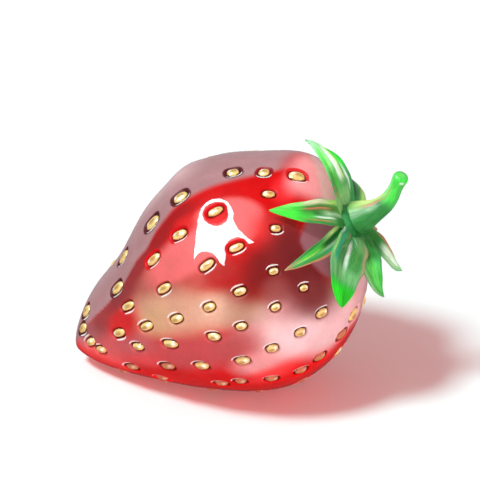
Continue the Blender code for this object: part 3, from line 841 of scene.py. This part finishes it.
def build_seeds(seeds, material):
    ring_run, ring_side = oval(full_turn(SEED_SIDES))
    shares, rises = np.array(SEED_RISE).T
    run = np.concatenate([[0], np.outer(shares[1:], ring_run).ravel(), [0]])
    side = np.concatenate([[0], np.outer(shares[1:], ring_side).ravel(), [0]])
    rise = np.concatenate([rises[:1], np.repeat(rises[1:], SEED_SIDES), rises[-1:]])
    edge = smooth(np.hypot(run, side), *EDGE_SHARE)
    points, faces, colours = [], [], []
    for seed in seeds:
        start = len(points)
        place, angle = seed.at(run * seed.half_length, side * seed.half_width)
        local = grown_skin(place, angle, rise * MM - SEED_FAR_SINK * seed.far)
        press_flat(local)
        points.extend(in_world(local))

        red = max(seed.reddened, 1 - smooth(seed.centre[2], *SEED_RED_HEIGHTS))
        along = -run if seed.upper else run
        heart = spot(along, side * seed.down, *HEART_SPOT)
        glint = spot(along, side * seed.down, *GLINT_SPOT)
        colour = plain(SEED_GOLD, len(run))
        colour = laid_over(colour, np.full(len(run), SEED_RED_STRENGTH * red), SEED_PAINTED_RED_LIGHT)
        colour = laid_over(colour, heart * (HEART_STRENGTH[0] - HEART_STRENGTH[1] * red), SEED_HEART)
        colour = laid_over(colour, glint * (GLINT_STRENGTH[0] - GLINT_STRENGTH[1] * red), SEED_PAINTED_GLINT)
        colours.extend(laid_over(colour, edge, SEED_EDGE_SHADE))

        faces.extend(fan_faces(start, start + 1, SEED_SIDES))
        faces.extend(tube_faces(start + 1, len(SEED_RISE) - 1, SEED_SIDES))
        last = start + 1 + (len(SEED_RISE) - 2) * SEED_SIDES
        faces.extend(fan_faces(last + SEED_SIDES, last, SEED_SIDES, flip=True))
    made = new_mesh_object("fruit_seeds", points, faces, colours)
    stands_for(made, "fruit", material)


# The calyx

# The calyx's colours: the deep green and teal stand for painted shade and the white for painted highlights,
# beside the sepals' own greens and reds
DEEP = (24, 92, 40)
GREEN = (66, 160, 88)
TEAL = (44, 156, 116)
VIVID = (30, 236, 40)
LIME = (168, 222, 112)
PALE = (158, 224, 160)
HIGHLIGHT_WHITE = (236, 255, 240)
RED = (214, 116, 96)
# Each sepal's strokes over its green: colour, then in hundredths the middle and half width across the blade
# from -100 to 100, the start and end along it from 0 to 100, and the strength. Beside the sepals' own
# vivid tips and red edges, the white and pale streaks are painted highlights and the deep green and teal
# ones painted shade.
STROKES = (
    (
        ((134, 198, 122), 0, 200, 8, 36, 85), ((80, 184, 74), -10, 42, 38, 60, 100),
        ((104, 232, 98), 55, 70, 60, 95, 100), ((76, 170, 72), 45, 40, 40, 62, 90),
        ((165, 244, 150), -5, 28, 62, 92, 80), ((196, 240, 150), -88, 30, 46, 90, 95),
        (HIGHLIGHT_WHITE, -52, 20, 46, 86, 95), (RED, 80, 7, 36, 50, 80), (RED, 45, 6, 22, 42, 80),
        (PALE, 0, 200, 90, 100, 90),
    ),
    (
        ((66, 150, 70), 0, 200, 0, 100, 100), ((88, 166, 84), -80, 30, 18, 50, 90),
        ((172, 216, 112), -84, 22, 10, 52, 90), ((208, 220, 172), -84, 26, 46, 76, 100),
        ((80, 128, 56), -36, 24, 22, 74, 95), (RED, -32, 6, 42, 72, 90),
        ((160, 206, 158), 2, 18, 16, 50, 95), ((62, 132, 62), 5, 16, 50, 72, 80),
        ((44, 118, 50), 50, 40, 12, 32, 80), (HIGHLIGHT_WHITE, 38, 10, 36, 62, 70), (RED, 70, 6, 42, 72, 70),
        ((58, 134, 64), 92, 22, 30, 56, 80), ((72, 196, 68), 30, 40, 62, 78, 90),
        ((66, 236, 60), 0, 200, 76, 100, 90), ((130, 236, 112), -80, 22, 74, 90, 90),
        ((112, 212, 88), -30, 20, 84, 100, 70),
    ),
    (
        ((60, 128, 56), 0, 90, 14, 62, 90), ((176, 214, 128), -72, 22, 20, 54, 100),
        (DEEP, -22, 24, 20, 66, 90), ((160, 178, 146), 22, 12, 30, 64, 80), (TEAL, 62, 26, 5, 62, 80),
        ((72, 206, 60), -25, 40, 62, 86, 100), (LIME, -10, 12, 66, 96, 80),
        ((58, 134, 48), -88, 18, 58, 88, 90), ((60, 140, 60), 60, 30, 62, 88, 90),
        (RED, 86, 14, 42, 100, 80), (RED, -50, 12, 86, 100, 80), (RED, 0, 200, 94, 100, 50),
    ),
    (
        ((70, 148, 82), 0, 200, 0, 100, 100), ((46, 160, 112), -70, 32, 18, 74, 100),
        ((60, 128, 66), -34, 16, 34, 76, 90), ((70, 160, 98), -45, 16, 14, 40, 80),
        (DEEP, -6, 6, 10, 74, 60), (HIGHLIGHT_WHITE, 10, 7.5, 30, 68, 85), ((66, 136, 62), 45, 26, 36, 64, 90),
        ((112, 160, 92), 62, 22, 14, 38, 70), (RED, -20, 3.5, 14, 44, 60), (LIME, -90, 9, 38, 66, 70),
        (HIGHLIGHT_WHITE, -90, 10, 12, 34, 60), ((170, 158, 116), 92, 12, 24, 66, 80),
        ((118, 186, 116), 0, 200, 66, 79, 70), ((66, 140, 72), -42, 14, 64, 80, 70),
        ((40, 228, 36), 0, 200, 82, 100, 100), ((32, 178, 28), 50, 42, 82, 100, 100),
    ),
    (
        ((46, 124, 46), 40, 55, 8, 50, 90), (HIGHLIGHT_WHITE, -52, 24, 14, 52, 95), (RED, -20, 7, 20, 54, 90),
        ((94, 208, 88), 20, 60, 52, 95, 95), ((78, 180, 72), -5, 14, 62, 96, 80),
        ((58, 196, 60), 80, 22, 64, 100, 80), ((150, 196, 132), -75, 25, 50, 100, 80),
    ),
    (
        ((44, 118, 44), 10, 80, 5, 44, 90), ((178, 236, 172), 0, 200, 52, 86, 90),
        (HIGHLIGHT_WHITE, 30, 30, 48, 86, 85), (RED, 86, 12, 36, 68, 90), ((150, 222, 150), 0, 200, 84, 100, 80),
        ((70, 170, 110), -85, 16, 55, 100, 60),
    ),
    (
        (DEEP, 0, 14, 10, 75, 90), (LIME, 70, 32, 25, 85, 90), (HIGHLIGHT_WHITE, -35, 12, 30, 70, 70),
        (VIVID, 0, 70, 66, 96, 90), (RED, -90, 10, 30, 80, 70),
    ),
    (
        (TEAL, 45, 45, 10, 66, 90), (DEEP, 0, 12, 10, 78, 90), (LIME, -75, 28, 20, 80, 90),
        (VIVID, 0, 200, 78, 100, 90), (RED, 92, 8, 25, 75, 70),
    ),
    (
        (DEEP, 0, 16, 10, 65, 80), (LIME, 60, 35, 25, 85, 90), (HIGHLIGHT_WHITE, -40, 14, 35, 75, 80),
        (VIVID, -55, 40, 60, 96, 90),
    ),
)
SEPAL_ROWS = 64
SEPAL_COLUMNS = 26
SEPAL_HALF_THICKNESS = 0.22 * MM
SEPAL_EDGE_THICKNESS = 0.05 * MM
SEPAL_ENDS = 0.02
SEPAL_ACROSS_POWER = 2.5
SEPAL_ALONG_POWER = 0.35
# Waves of the edge and of its curl: height, run along the blade and shift from one sepal to the next
EDGE_WAVE = 0.035, 23, 2.1
CURL_WAVE = 0.16 * MM, 9, 1.7
CURL_OTHER_SIDE = 1.9
GROOVE_DEPTH = 0.07 * MM
GROOVE_WIDTH = 0.10
RIB_HEIGHT = 0.022 * MM
RIBS = 3.5
STROKE_SOFT = 0.09
STROKE_WAVE = 0.05, 7
UNDERSIDE_PALE = 0.35
# The grain's measure along a sepal, and its shift from one sepal to the next and to the underside
SEPAL_GRAIN = 13, 7.0, 3


def blade_share(share, widest):
    """A sepal's width along its length, as a share of its widest: narrow root, lens, pointed tip."""
    fall = SEPAL_TIP_POWER - SEPAL_TIP_FULLER * widest
    rise = fall * widest / (1 - widest)
    lens = (share / widest) ** rise * ((1 - share) / (1 - widest)) ** fall
    return np.maximum(lens, SEPAL_TIP_SHARE) + SEPAL_ROOT_SHARE * (1 - share) ** SEPAL_ROOT_POWER


def sepal_line(sepal, raised, share):
    """A sepal's midrib as distances from the core and heights along it, from root to tip."""
    degrees, reach, level = sepal[:3]
    places = np.linspace(OVER_SHOULDER, 1 - POLE, PROFILE_STEPS)
    line_radius = SEPAL_START + (reach * MM - SEPAL_START) * share
    over_skin = np.full(len(share), -np.inf)
    for side in (-SEPAL_SIDES, 0, SEPAL_SIDES):
        radii, heights = outline(places, math.radians(degrees + side), SEPAL_LIFT)
        order = np.argsort(radii)
        over_skin = np.maximum(over_skin, np.interp(line_radius, radii[order], heights[order]))
    rise = FRUIT_LENGTH + level * MM - over_skin[-1]
    line_height = over_skin + raised * (1 - share) + rise * share**SEPAL_RISE_POWER
    return line_radius, line_height


def painted(strokes, share, across, wobble):
    """Green for a grid of points, with strokes laid over it in turn."""
    colours = plain(GREEN, share.size)
    for colour, *hundredths in strokes:
        middle, half, start, end, strength = np.array(hundredths) / 100
        away = abs(across - middle - wobble) / half
        soft = min(STROKE_SOFT, (end - start) / 3)
        first = smooth(share, start - soft, start + soft) if start > 0 else 1.0
        last = 1 - smooth(share, end - soft, end + soft) if end < 1 else 1.0
        colours = laid_over(colours, (strength * np.exp(-(away**4)) * first * last).ravel(), colour)
    return colours


def sheet_faces(rows, columns):
    """Faces of a blade of two sheets of points, each of that many rows and columns, and of its rim."""
    below = rows * columns
    faces = []
    for first in range(0, below - columns, columns):
        second = first + columns
        for corner in range(first, second - 1):
            top = (corner, corner + columns, corner + columns + 1, corner + 1)
            faces.append(top)
            faces.append(tuple(below + index for index in reversed(top)))
        for start, end in ((first, second), (second + columns - 1, second - 1)):
            faces.append((start, below + start, below + end, end))
    for column in range(columns - 1):
        faces.append((column, column + 1, below + column + 1, below + column))
        corner = below - columns + column
        faces.append((below + corner, below + corner + 1, corner + 1, corner))
    return faces


def build_sepal(number, sepal, raised, material):
    """One sepal: two faces that meet at thin edges, folded along the midrib, with a waved edge."""
    degrees, _, _, width, twist, bow, widest = sepal
    share = np.linspace(0, 1, SEPAL_ROWS)
    radius, height = sepal_line(sepal, raised, share)
    run, rise = np.gradient(radius), np.gradient(height)
    length = np.hypot(run, rise)
    arch = np.sin(np.pi * share)[:, None]
    along, across = np.meshgrid(share, np.linspace(-1, 1, SEPAL_COLUMNS + 1), indexing="ij")
    wave, waves, shift = EDGE_WAVE
    half = (width * MM / 2 * blade_share(share, widest))[:, None]
    half = half * (1 + wave * np.sin(waves * along + shift * number + across))
    turn = (math.radians(twist) * share)[:, None]
    angle = np.radians(degrees + bow * arch)
    wave, waves, shift = CURL_WAVE
    edge = np.sin(waves * along + shift * number + np.where(across > 0, CURL_OTHER_SIDE, 0.0))
    curl = wave * edge * abs(across) ** 3 * arch
    groove = -GROOVE_DEPTH * np.exp(-((across / GROOVE_WIDTH) ** 2)) * arch
    ribs = RIB_HEIGHT * np.cos(2 * np.pi * RIBS * across) * arch
    sheet = half * (across * np.sin(turn) + abs(across) * SEPAL_FOLD * arch) + curl
    sideways = half * across * np.cos(turn)
    ends = np.sin(np.pi * (along * (1 - 2 * SEPAL_ENDS) + SEPAL_ENDS)) ** SEPAL_ALONG_POWER
    body = (1 - abs(across) ** SEPAL_ACROSS_POWER) * ends
    thick = SEPAL_EDGE_THICKNESS + (SEPAL_HALF_THICKNESS - SEPAL_EDGE_THICKNESS) * body

    sheets = []
    for side in (1, -1):
        off = sheet + side * (thick + groove * (side > 0) + ribs)
        out = radius[:, None] - off * (rise / length)[:, None]
        x = out * np.cos(angle) - sideways * np.sin(angle)
        y = out * np.sin(angle) + sideways * np.cos(angle)
        z = height[:, None] + off * (run / length)[:, None]
        sheets.append(np.stack([x, y, z], axis=-1).reshape(-1, 3))
    points = in_world(np.concatenate(sheets))

    wave, waves = STROKE_WAVE
    colour = painted(STROKES[number], along, across, wave * np.sin(waves * along + number))
    under = laid_over(colour, np.full(len(colour), UNDERSIDE_PALE), PALE)
    faces = sheet_faces(SEPAL_ROWS, SEPAL_COLUMNS + 1)
    made = new_mesh_object(f"sepal_{number + 1}", points, faces, np.concatenate([colour, under]))
    run, apart, under = SEPAL_GRAIN
    columns = [across.ravel() * width / 2, along.ravel() * run, np.full(along.size, apart * number)]
    grain = np.column_stack(columns)
    add_grain(made, np.concatenate([grain, grain + [0, 0, under]]))
    stands_for(made, "calyx", material)


# The disc's outline: distance from the core and height, in millimetres
HUB_LINE = (
    (0.0, 1.22), (0.9, 1.30), (1.7, 1.28), (2.15, 1.12), (2.5, 0.78),
    (2.75, 0.36), (2.84, 0.08), (2.6, 0.0), (0.0, 0.0),
)
HUB_SIDES = 72
HUB_LOBE = 0.03
HUB_SHADE = -0.5, 0.5
HUB_GRAIN = 4
HUB_GREEN = (62, 150, 84)
HUB_SHADED_GREEN = (32, 112, 50)
SAME_POINT = 0.01 * MM


def build_hub(material):
    """The low disc that the sepals grow from, lobed at their roots."""
    swing = full_turn(HUB_SIDES)
    lobes = 1 + HUB_LOBE * np.cos(len(SEPALS) * swing)
    radius, rise = np.array(HUB_LINE).T * MM
    x = np.outer(radius, lobes * np.cos(swing))
    y = np.outer(radius, lobes * np.sin(swing))
    z = np.repeat(CROWN + GAP + rise, HUB_SIDES)
    # Darker green on the disc's lower side, painted shade
    tone = plain(HUB_GREEN, HUB_SIDES)
    tone = laid_over(tone, smooth(-np.cos(swing), *HUB_SHADE), HUB_SHADED_GREEN)
    rings = len(HUB_LINE)
    faces = tube_faces(0, rings, HUB_SIDES)
    points = in_world(np.column_stack([x.ravel(), y.ravel(), z]))
    made = new_mesh_object("calyx_disc", points, faces, np.tile(tone, (rings, 1)))
    ring = np.repeat(np.arange(rings), HUB_SIDES)
    add_grain(made, np.column_stack([np.tile(swing * HUB_GRAIN, rings), ring, np.zeros(len(ring))]))
    cleaner = bmesh.new()
    cleaner.from_mesh(made.data)
    bmesh.ops.remove_doubles(cleaner, verts=cleaner.verts, dist=SAME_POINT)
    bmesh.ops.recalc_face_normals(cleaner, faces=cleaner.faces)
    cleaner.to_mesh(made.data)
    cleaner.free()
    stands_for(made, "calyx", material)


# The stem

STEM_ROWS = 90
STEM_SIDES = 40
# Ribs: half their height as a share of the radius, how many, and how far they turn
STEM_RIBS = 0.022, 7, 1.5
# Strokes as on the sepals, with hundredths of a radian round the stem in place of those across the blade.
# The lime and yellow-green strokes on the upper side are painted light, the deep green near the foot on
# the lower side painted shade and the white streak near the cut a painted highlight.
STEM_STROKES = (
    ((54, 140, 66), 0, 320, 0, 44, 100), ((74, 226, 76), 0, 320, 44, 100, 95),
    ((40, 116, 50), -130, 110, 0, 7, 90), ((78, 184, 84), -90, 50, 42, 86, 85),
    ((120, 220, 104), 70, 45, 42, 70, 80), ((158, 244, 146), 120, 45, 44, 88, 90),
    ((118, 176, 96), 110, 30, 0, 24, 70), ((224, 246, 146), 162, 56, 5, 47, 100),
    (RED, 98, 13, 15, 44, 85), (RED, 66, 9, 44, 66, 60), (HIGHLIGHT_WHITE, -55, 30, 84, 90, 80),
)
STEM_WAVE = 0.06, 9
STEM_CUT = (108, 232, 106)
# How far in the inner ring of the cut and of the foot lies
STEM_CUT_INSET = 0.55
STEM_FOOT_INSET = 0.5
# The grain's measure round the stem, along it and apart from the sepals', and the cuts'
STEM_GRAIN = 1.6, 11, 90.0
CUT_GRAIN = 50.0


def basis(index, degree, knots, at):
    """One blending function of a B-spline."""
    if degree == 0:
        return ((knots[index] <= at) & (at < knots[index + 1])).astype(float)
    total = np.zeros(len(at))
    before = knots[index + degree] - knots[index]
    after = knots[index + degree + 1] - knots[index + 1]
    if before > 0:
        total += (at - knots[index]) / before * basis(index, degree - 1, knots, at)
    if after > 0:
        total += (knots[index + degree + 1] - at) / after * basis(index + 1, degree - 1, knots, at)
    return total


def stem_line():
    """The stem's line, as how far it leans, how high it is and how thick, with its direction."""
    spans = len(STEM_LINE) - STEM_CURVE_DEGREE
    knots = [0] * STEM_CURVE_DEGREE + list(range(spans + 1)) + [spans] * STEM_CURVE_DEGREE
    at = np.linspace(0, spans - STEM_CURVE_SHORT, STEM_ROWS)
    blend = [basis(index, STEM_CURVE_DEGREE, knots, at) for index in range(len(STEM_LINE))]
    line = np.stack(blend, axis=1) @ np.array(STEM_LINE, float)
    tangent = np.gradient(line[:, :2], axis=0)
    return line, tangent / np.linalg.norm(tangent, axis=1, keepdims=True)


def build_stem(material):
    """The stalk, along the same curve as its solid, ribbed, with a swollen cut end."""
    line, tangent = stem_line()
    share, swings = np.meshgrid(np.linspace(0, 1, STEM_ROWS), full_turn(STEM_SIDES), indexing="ij")
    height, count, turn = STEM_RIBS
    around = line[:, 2:] * (1 - height * (1 + np.cos(count * swings + turn * share)) * (1 - share))
    x = line[:, :1] + around * np.cos(swings) * tangent[:, 1:]
    z = line[:, 1:2] - around * np.cos(swings) * tangent[:, :1]
    foot = CROWN + GAP + HUB_HEIGHT + GAP
    rows = np.stack([x * MM, around * np.sin(swings) * MM, foot + z * MM], axis=-1)
    wave, waves = STEM_WAVE
    across = -turned_from(swings, math.pi / 2)
    colours = [painted(STEM_STROKES, share, across, wave * np.sin(waves * share))]
    round_it, along, apart = STEM_GRAIN
    columns = [(swings * round_it).ravel(), (share * along).ravel(), np.full(share.size, apart)]
    grain = [np.column_stack(columns)]
    faces = tube_faces(0, STEM_ROWS, STEM_SIDES, flip=True)

    points = [rows.reshape(-1, 3)]
    ring = STEM_ROWS * STEM_SIDES
    # The cut end in its own vivid green; the foot's end, against the disc, in deep green as painted shade
    for row, inset, tone in ((STEM_ROWS - 1, STEM_CUT_INSET, STEM_CUT), (0, STEM_FOOT_INSET, DEEP)):
        middle = rows[row].mean(axis=0)
        points.extend([rows[row] + (middle - rows[row]) * inset, middle[None, :]])
        colours.append(plain(tone, STEM_SIDES + 1))
        grain.append(np.full((STEM_SIDES + 1, 3), CUT_GRAIN))
        edge = row * STEM_SIDES
        first, second = (ring, edge) if row == 0 else (edge, ring)
        faces.extend(ring_faces(first, second, STEM_SIDES, flip=True))
        faces.extend(fan_faces(ring + STEM_SIDES, ring, STEM_SIDES, flip=row == 0))
        ring += STEM_SIDES + 1
    made = new_mesh_object("stalk", in_world(np.concatenate(points)), faces, np.concatenate(colours))
    add_grain(made, np.concatenate(grain))
    stands_for(made, "stem", material)


# Materials

# How the leaf's roughness varies, lighter fibres being smoother
LEAF_ROUGHER = 0.08
LEAF_SMOOTHER = 0.06


class Nodes:
    """A node tree, with short calls to add nodes and join them."""

    def __init__(self, tree):
        self.tree = tree

    def add(self, kind, levels=(), **settings):
        """A new shader node, with its inputs' levels by name or number and its settings."""
        node = self.tree.nodes.new("ShaderNode" + kind)
        for name, setting in settings.items():
            setattr(node, name, setting)
        for name, level in dict(levels).items():
            node.inputs[name].default_value = level
        return node

    def join(self, output, target):
        self.tree.links.new(output, target)

    def noise(self, vector, scale, detail=2.0, stretch=(1, 1, 1)):
        mapping = self.add("Mapping", {"Scale": stretch})
        self.join(vector, mapping.inputs["Vector"])
        node = self.add("TexNoise", {"Scale": scale, "Detail": detail})
        self.join(mapping.outputs["Vector"], node.inputs["Vector"])
        return node.outputs["Fac"]

    def between(self, value, low=0.0, high=1.0, source=(0.3, 0.7)):
        """A value brought from its source range to another."""
        levels = {"From Min": source[0], "From Max": source[1], "To Min": low, "To Max": high}
        node = self.add("MapRange", levels)
        self.join(value, node.inputs["Value"])
        return node.outputs["Result"]

    def shaded(self, colour, value):
        """A colour multiplied by a value."""
        node = self.add("VectorMath", operation="SCALE")
        self.join(colour, node.inputs[0])
        self.join(value, node.inputs["Scale"])
        return node.outputs["Vector"]


class Material(Nodes):
    """A material with the usual shader, its levels given by name."""

    def __init__(self, name, **levels):
        self.made = bpy.data.materials.new(name)
        self.made.use_nodes = True
        super().__init__(self.made.node_tree)
        self.shader = self.tree.nodes["Principled BSDF"]
        for level, value in levels.items():
            self.shader.inputs[level.replace("_", " ")].default_value = value

    def feed(self, **outputs):
        """Joins outputs to the shader's inputs of those names."""
        for name, output in outputs.items():
            self.join(output, self.shader.inputs[name.replace("_", " ")])

    def attribute(self, name):
        return self.add("Attribute", attribute_name=name).outputs

    def bump(self, value, strength, distance=0.1 * MM):
        node = self.add("Bump", {"Strength": strength, "Distance": distance})
        self.join(value, node.inputs["Height"])
        self.feed(Normal=node.outputs["Normal"])


def skin_material():
    skin_look = Material("strawberry_skin", Coat_Roughness=0.02, Coat_IOR=1.45, Specular_IOR_Level=0.04)
    where = skin_look.add("TexCoord").outputs["Object"]
    paint = skin_look.attribute("paint")
    mottle = skin_look.between(skin_look.noise(where, scale=420, detail=4.0), low=0.93, high=1.06)
    fine = skin_look.between(skin_look.noise(where, scale=2600), low=0.97, high=1.03)
    colour = skin_look.shaded(skin_look.shaded(paint["Color"], mottle), fine)
    rough = skin_look.between(skin_look.noise(where, scale=900, detail=3.0), low=0.34, high=0.46)
    skin_look.feed(Base_Color=colour, Coat_Weight=paint["Alpha"], Roughness=rough)
    skin_look.bump(skin_look.noise(where, scale=3000), strength=0.06)
    return skin_look.made


def seed_material():
    gold = Material("seed_gold", Coat_Weight=0.5, Coat_Roughness=0.08)
    where = gold.add("TexCoord").outputs["Object"]
    grain = gold.between(gold.noise(where, scale=3200, detail=3.0), low=0.9, high=1.08)
    rough = gold.between(gold.noise(where, scale=2200), low=0.22, high=0.36)
    gold.feed(Base_Color=gold.shaded(gold.attribute("paint")["Color"], grain), Roughness=rough)
    gold.bump(gold.noise(where, scale=4200), strength=0.1)
    return gold.made


def leaf_material(name, roughness):
    leaf = Material(name, Specular_IOR_Level=0.22, Coat_Weight=0.06, Coat_Roughness=0.2)
    grain = leaf.attribute("grain")["Vector"]
    fibres = leaf.noise(grain, scale=1.6, detail=3.0, stretch=(4.0, 0.45, 1.0))
    blotch = leaf.noise(grain, scale=0.55, stretch=(1.5, 0.5, 1.0))
    colour = leaf.shaded(leaf.attribute("paint")["Color"], leaf.between(fibres, low=0.80, high=1.18))
    colour = leaf.shaded(colour, leaf.between(blotch, low=0.90, high=1.10))
    rough = leaf.between(fibres, low=roughness + LEAF_ROUGHER, high=roughness - LEAF_SMOOTHER)
    leaf.feed(Base_Color=colour, Roughness=rough)
    leaf.bump(fibres, strength=0.35, distance=0.2 * MM)
    return leaf.made


# Camera, lights and floor

CAMERA_DISTANCE = 0.4
CAMERA_CLIP = 0.01, 5.0
# The lights, by the camera: how far to its right, to the front and up each stands; how bright it makes a
# white face turned to it; its colour; its spread in degrees; and whether it throws shadows
LIGHTS = (
    ("key", (-0.44, 0.28, 0.86), 0.92, (0.60, 1.0, 1.0), 14, True),
    ("fill", (0.7, 0.65, 0.27), 0.45, (1.0, 1.0, 1.0), 20, False),
    ("bounce", (0.1, 0.75, -0.55), 0.13, (1.0, 0.45, 0.45), 30, False),
)
# The window's reflection on the skin, as places along the core and angles round it, and the part of
# it that the frame's crossing leaves dark
WINDOW_OUTLINE = (
    (0.612, 56), (0.633, 49), (0.651, 41), (0.659, 36), (0.67, 31.5), (0.687, 29), (0.709, 27.8),
    (0.73, 28.5), (0.748, 31), (0.758, 35), (0.761, 39.5), (0.756, 43), (0.765, 49.5), (0.78, 54.5),
    (0.795, 59.5), (0.778, 58.5), (0.77, 55), (0.756, 53), (0.74, 53), (0.724, 54.5), (0.716, 58),
    (0.707, 61), (0.695, 65), (0.688, 63), (0.679, 57.5), (0.663, 55), (0.646, 54), (0.628, 54.5),
)
WINDOW_GAP = (
    (0.671, 35), (0.68, 31.5), (0.697, 30), (0.714, 30), (0.734, 32), (0.746, 35), (0.748, 39.5),
    (0.74, 43), (0.722, 44.5), (0.704, 44), (0.687, 42), (0.675, 39),
)
WINDOW_DISTANCE = 0.14
WINDOW_STRENGTH = 34.0
FLOOR_HALF = 1.5
FLOOR_DROP = 0.02 * MM
FLOOR_WHITE = (0.93, 0.925, 0.92, 1.0)
WORLD_LEVEL = (0.52, 0.25, 0.25, 1.0)
GLOSS_LEVEL = (0.06, 0.05, 0.05, 1.0)
BACKDROP_LEVEL = (0.5, 0.4, 0.41, 1.0)
BACKDROP_LEAN = 0.8
BACKDROP_FADE = 0.85, 1.08
WHITE_LEVEL = (1.0, 1.0, 1.0, 1.0)


def camera_axes():
    """The camera's right, up and back directions in the world."""
    turn, rise = CAMERA_AZIMUTH, CAMERA_ELEVATION
    right = Vector((math.cos(turn), math.sin(turn), 0))
    back = Vector((math.sin(turn) * math.cos(rise), -math.cos(turn) * math.cos(rise), math.sin(rise)))
    return right, back.cross(right), back


def turn_towards(made, direction):
    """Turns a camera or a light so that its back faces that way."""
    made.rotation_mode = "QUATERNION"
    made.rotation_quaternion = direction.to_track_quat("Z", "Y")


def build_camera(right, up, back):
    data = bpy.data.cameras.new("camera")
    data.type = "ORTHO"
    data.ortho_scale = FRAME_PIXELS / PIXELS_PER_MM * MM
    data.clip_start, data.clip_end = CAMERA_CLIP
    camera = added("camera", data)
    middle = FRAME_PIXELS / 2
    across = (middle - ORIGIN_PIXEL[0]) / PIXELS_PER_MM * MM
    above = (ORIGIN_PIXEL[1] - middle) / PIXELS_PER_MM * MM
    camera.location = right * across + up * above + back * CAMERA_DISTANCE
    turn_towards(camera, back)
    bpy.context.scene.camera = camera


def build_lights(right):
    """Lamps at no distance in particular, which gloss doesn't show."""
    front = Vector((right.y, -right.x, 0))
    for name, (aside, forward, upward), level, colour, spread, shadows in LIGHTS:
        data = bpy.data.lights.new(name, "SUN")
        data.energy = level * math.pi
        data.color = colour
        data.angle = math.radians(spread)
        data.use_shadow = shadows
        lamp = added(name, data)
        turn_towards(lamp, right * aside + front * forward + Vector((0, 0, upward)))
        lamp.visible_glossy = False


def build_window(back):
    """A bright pane that only gloss shows, shaped so that the camera sees that outline in the skin."""
    back = np.array(back)
    turn = np.array(CORE.to_3x3())

    def mirrored(place, degrees):
        normal = turn @ skin_normal(place, math.radians(degrees))
        point = in_world(grown_skin(place, math.radians(degrees)))
        return point, 2 * (normal @ back) * normal - back

    start, towards = mirrored(*np.mean(np.array(WINDOW_OUTLINE), axis=0))
    centre = start + towards * WINDOW_DISTANCE
    builder = bmesh.new()
    for line in (WINDOW_OUTLINE, WINDOW_GAP):
        corners = []
        for place, degrees in line:
            point, ray = mirrored(place, degrees)
            reach = ((centre - point) @ towards) / (ray @ towards)
            corners.append(builder.verts.new(point + ray * reach))
        for number, corner in enumerate(corners):
            builder.edges.new((corner, corners[number - 1]))
    bmesh.ops.triangle_fill(builder, use_beauty=True, edges=builder.edges[:])
    mesh = bpy.data.meshes.new("window_pane")
    builder.to_mesh(mesh)
    builder.free()
    light = Material("window_light")
    light.tree.nodes.remove(light.shader)
    glow = light.add("Emission", {"Strength": WINDOW_STRENGTH})
    light.join(glow.outputs["Emission"], light.tree.nodes["Material Output"].inputs["Surface"])
    mesh.materials.append(light.made)
    pane = added("window_pane", mesh)
    pane.visible_camera = False
    pane.visible_diffuse = False
    pane.visible_shadow = False


def build_floor():
    half = FLOOR_HALF
    mesh = bpy.data.meshes.new("floor")
    corners = [(-half, -half, 0), (half, -half, 0), (half, half, 0), (-half, half, 0)]
    mesh.from_pydata(corners, [], [(0, 1, 2, 3)])
    white = Material("floor_white", Base_Color=FLOOR_WHITE, Roughness=0.7, Specular_IOR_Level=0.15)
    mesh.materials.append(white.made)
    floor = added("floor", mesh)
    floor.location.z = -FLOOR_DROP
    floor.visible_glossy = False


def build_world(up, back):
    """Rosy light from all round, white behind the floor, and a pale backdrop alone in the gloss."""
    world = bpy.data.worlds.new("studio")
    world.use_nodes = True
    nodes = Nodes(world.node_tree)
    rays = nodes.add("LightPath")
    towards = nodes.add("TexCoord")
    behind = nodes.add("VectorMath", {1: up * BACKDROP_LEAN - back}, operation="DOT_PRODUCT")
    nodes.join(towards.outputs["Generated"], behind.inputs[0])
    fade = nodes.between(behind.outputs["Value"], source=BACKDROP_FADE)
    gloss = nodes.add("Mix", data_type="RGBA")
    gloss.inputs["A"].default_value = GLOSS_LEVEL
    gloss.inputs["B"].default_value = BACKDROP_LEVEL
    nodes.join(fade, gloss.inputs["Factor"])
    shown = nodes.tree.nodes["Background"]
    shown.inputs["Color"].default_value = WORLD_LEVEL
    for ray in ("Is Glossy Ray", "Is Camera Ray"):
        other = nodes.add("Background", {"Color": WHITE_LEVEL})
        if ray == "Is Glossy Ray":
            nodes.join(gloss.outputs["Result"], other.inputs["Color"])
        mix = nodes.add("MixShader")
        nodes.join(rays.outputs[ray], mix.inputs["Fac"])
        nodes.join(shown.outputs[0], mix.inputs[1])
        nodes.join(other.outputs["Background"], mix.inputs[2])
        shown = mix
    nodes.join(shown.outputs[0], nodes.tree.nodes["World Output"].inputs["Surface"])
    world.cycles.sampling_method = "NONE"
    bpy.context.scene.world = world


def main():
    draw = random.Random(SIZE_DRAW)
    seeds = [Seed(*found, draw) for found in seed_places()]
    build_skin(seeds, skin_material())
    build_seeds(seeds, seed_material())
    leaf = leaf_material("sepal_green", roughness=0.42)
    for number, sepal in enumerate(SEPALS):
        build_sepal(number, sepal, SEPAL_STAGGER * (number % 2), leaf)
    build_hub(leaf)
    build_stem(leaf_material("stem_green", roughness=0.38))
    right, up, back = camera_axes()
    build_camera(right, up, back)
    build_window(back)
    build_floor()
    build_world(up, back)
    build_lights(right)
    bpy.context.scene.view_settings.view_transform = "Standard"


main()
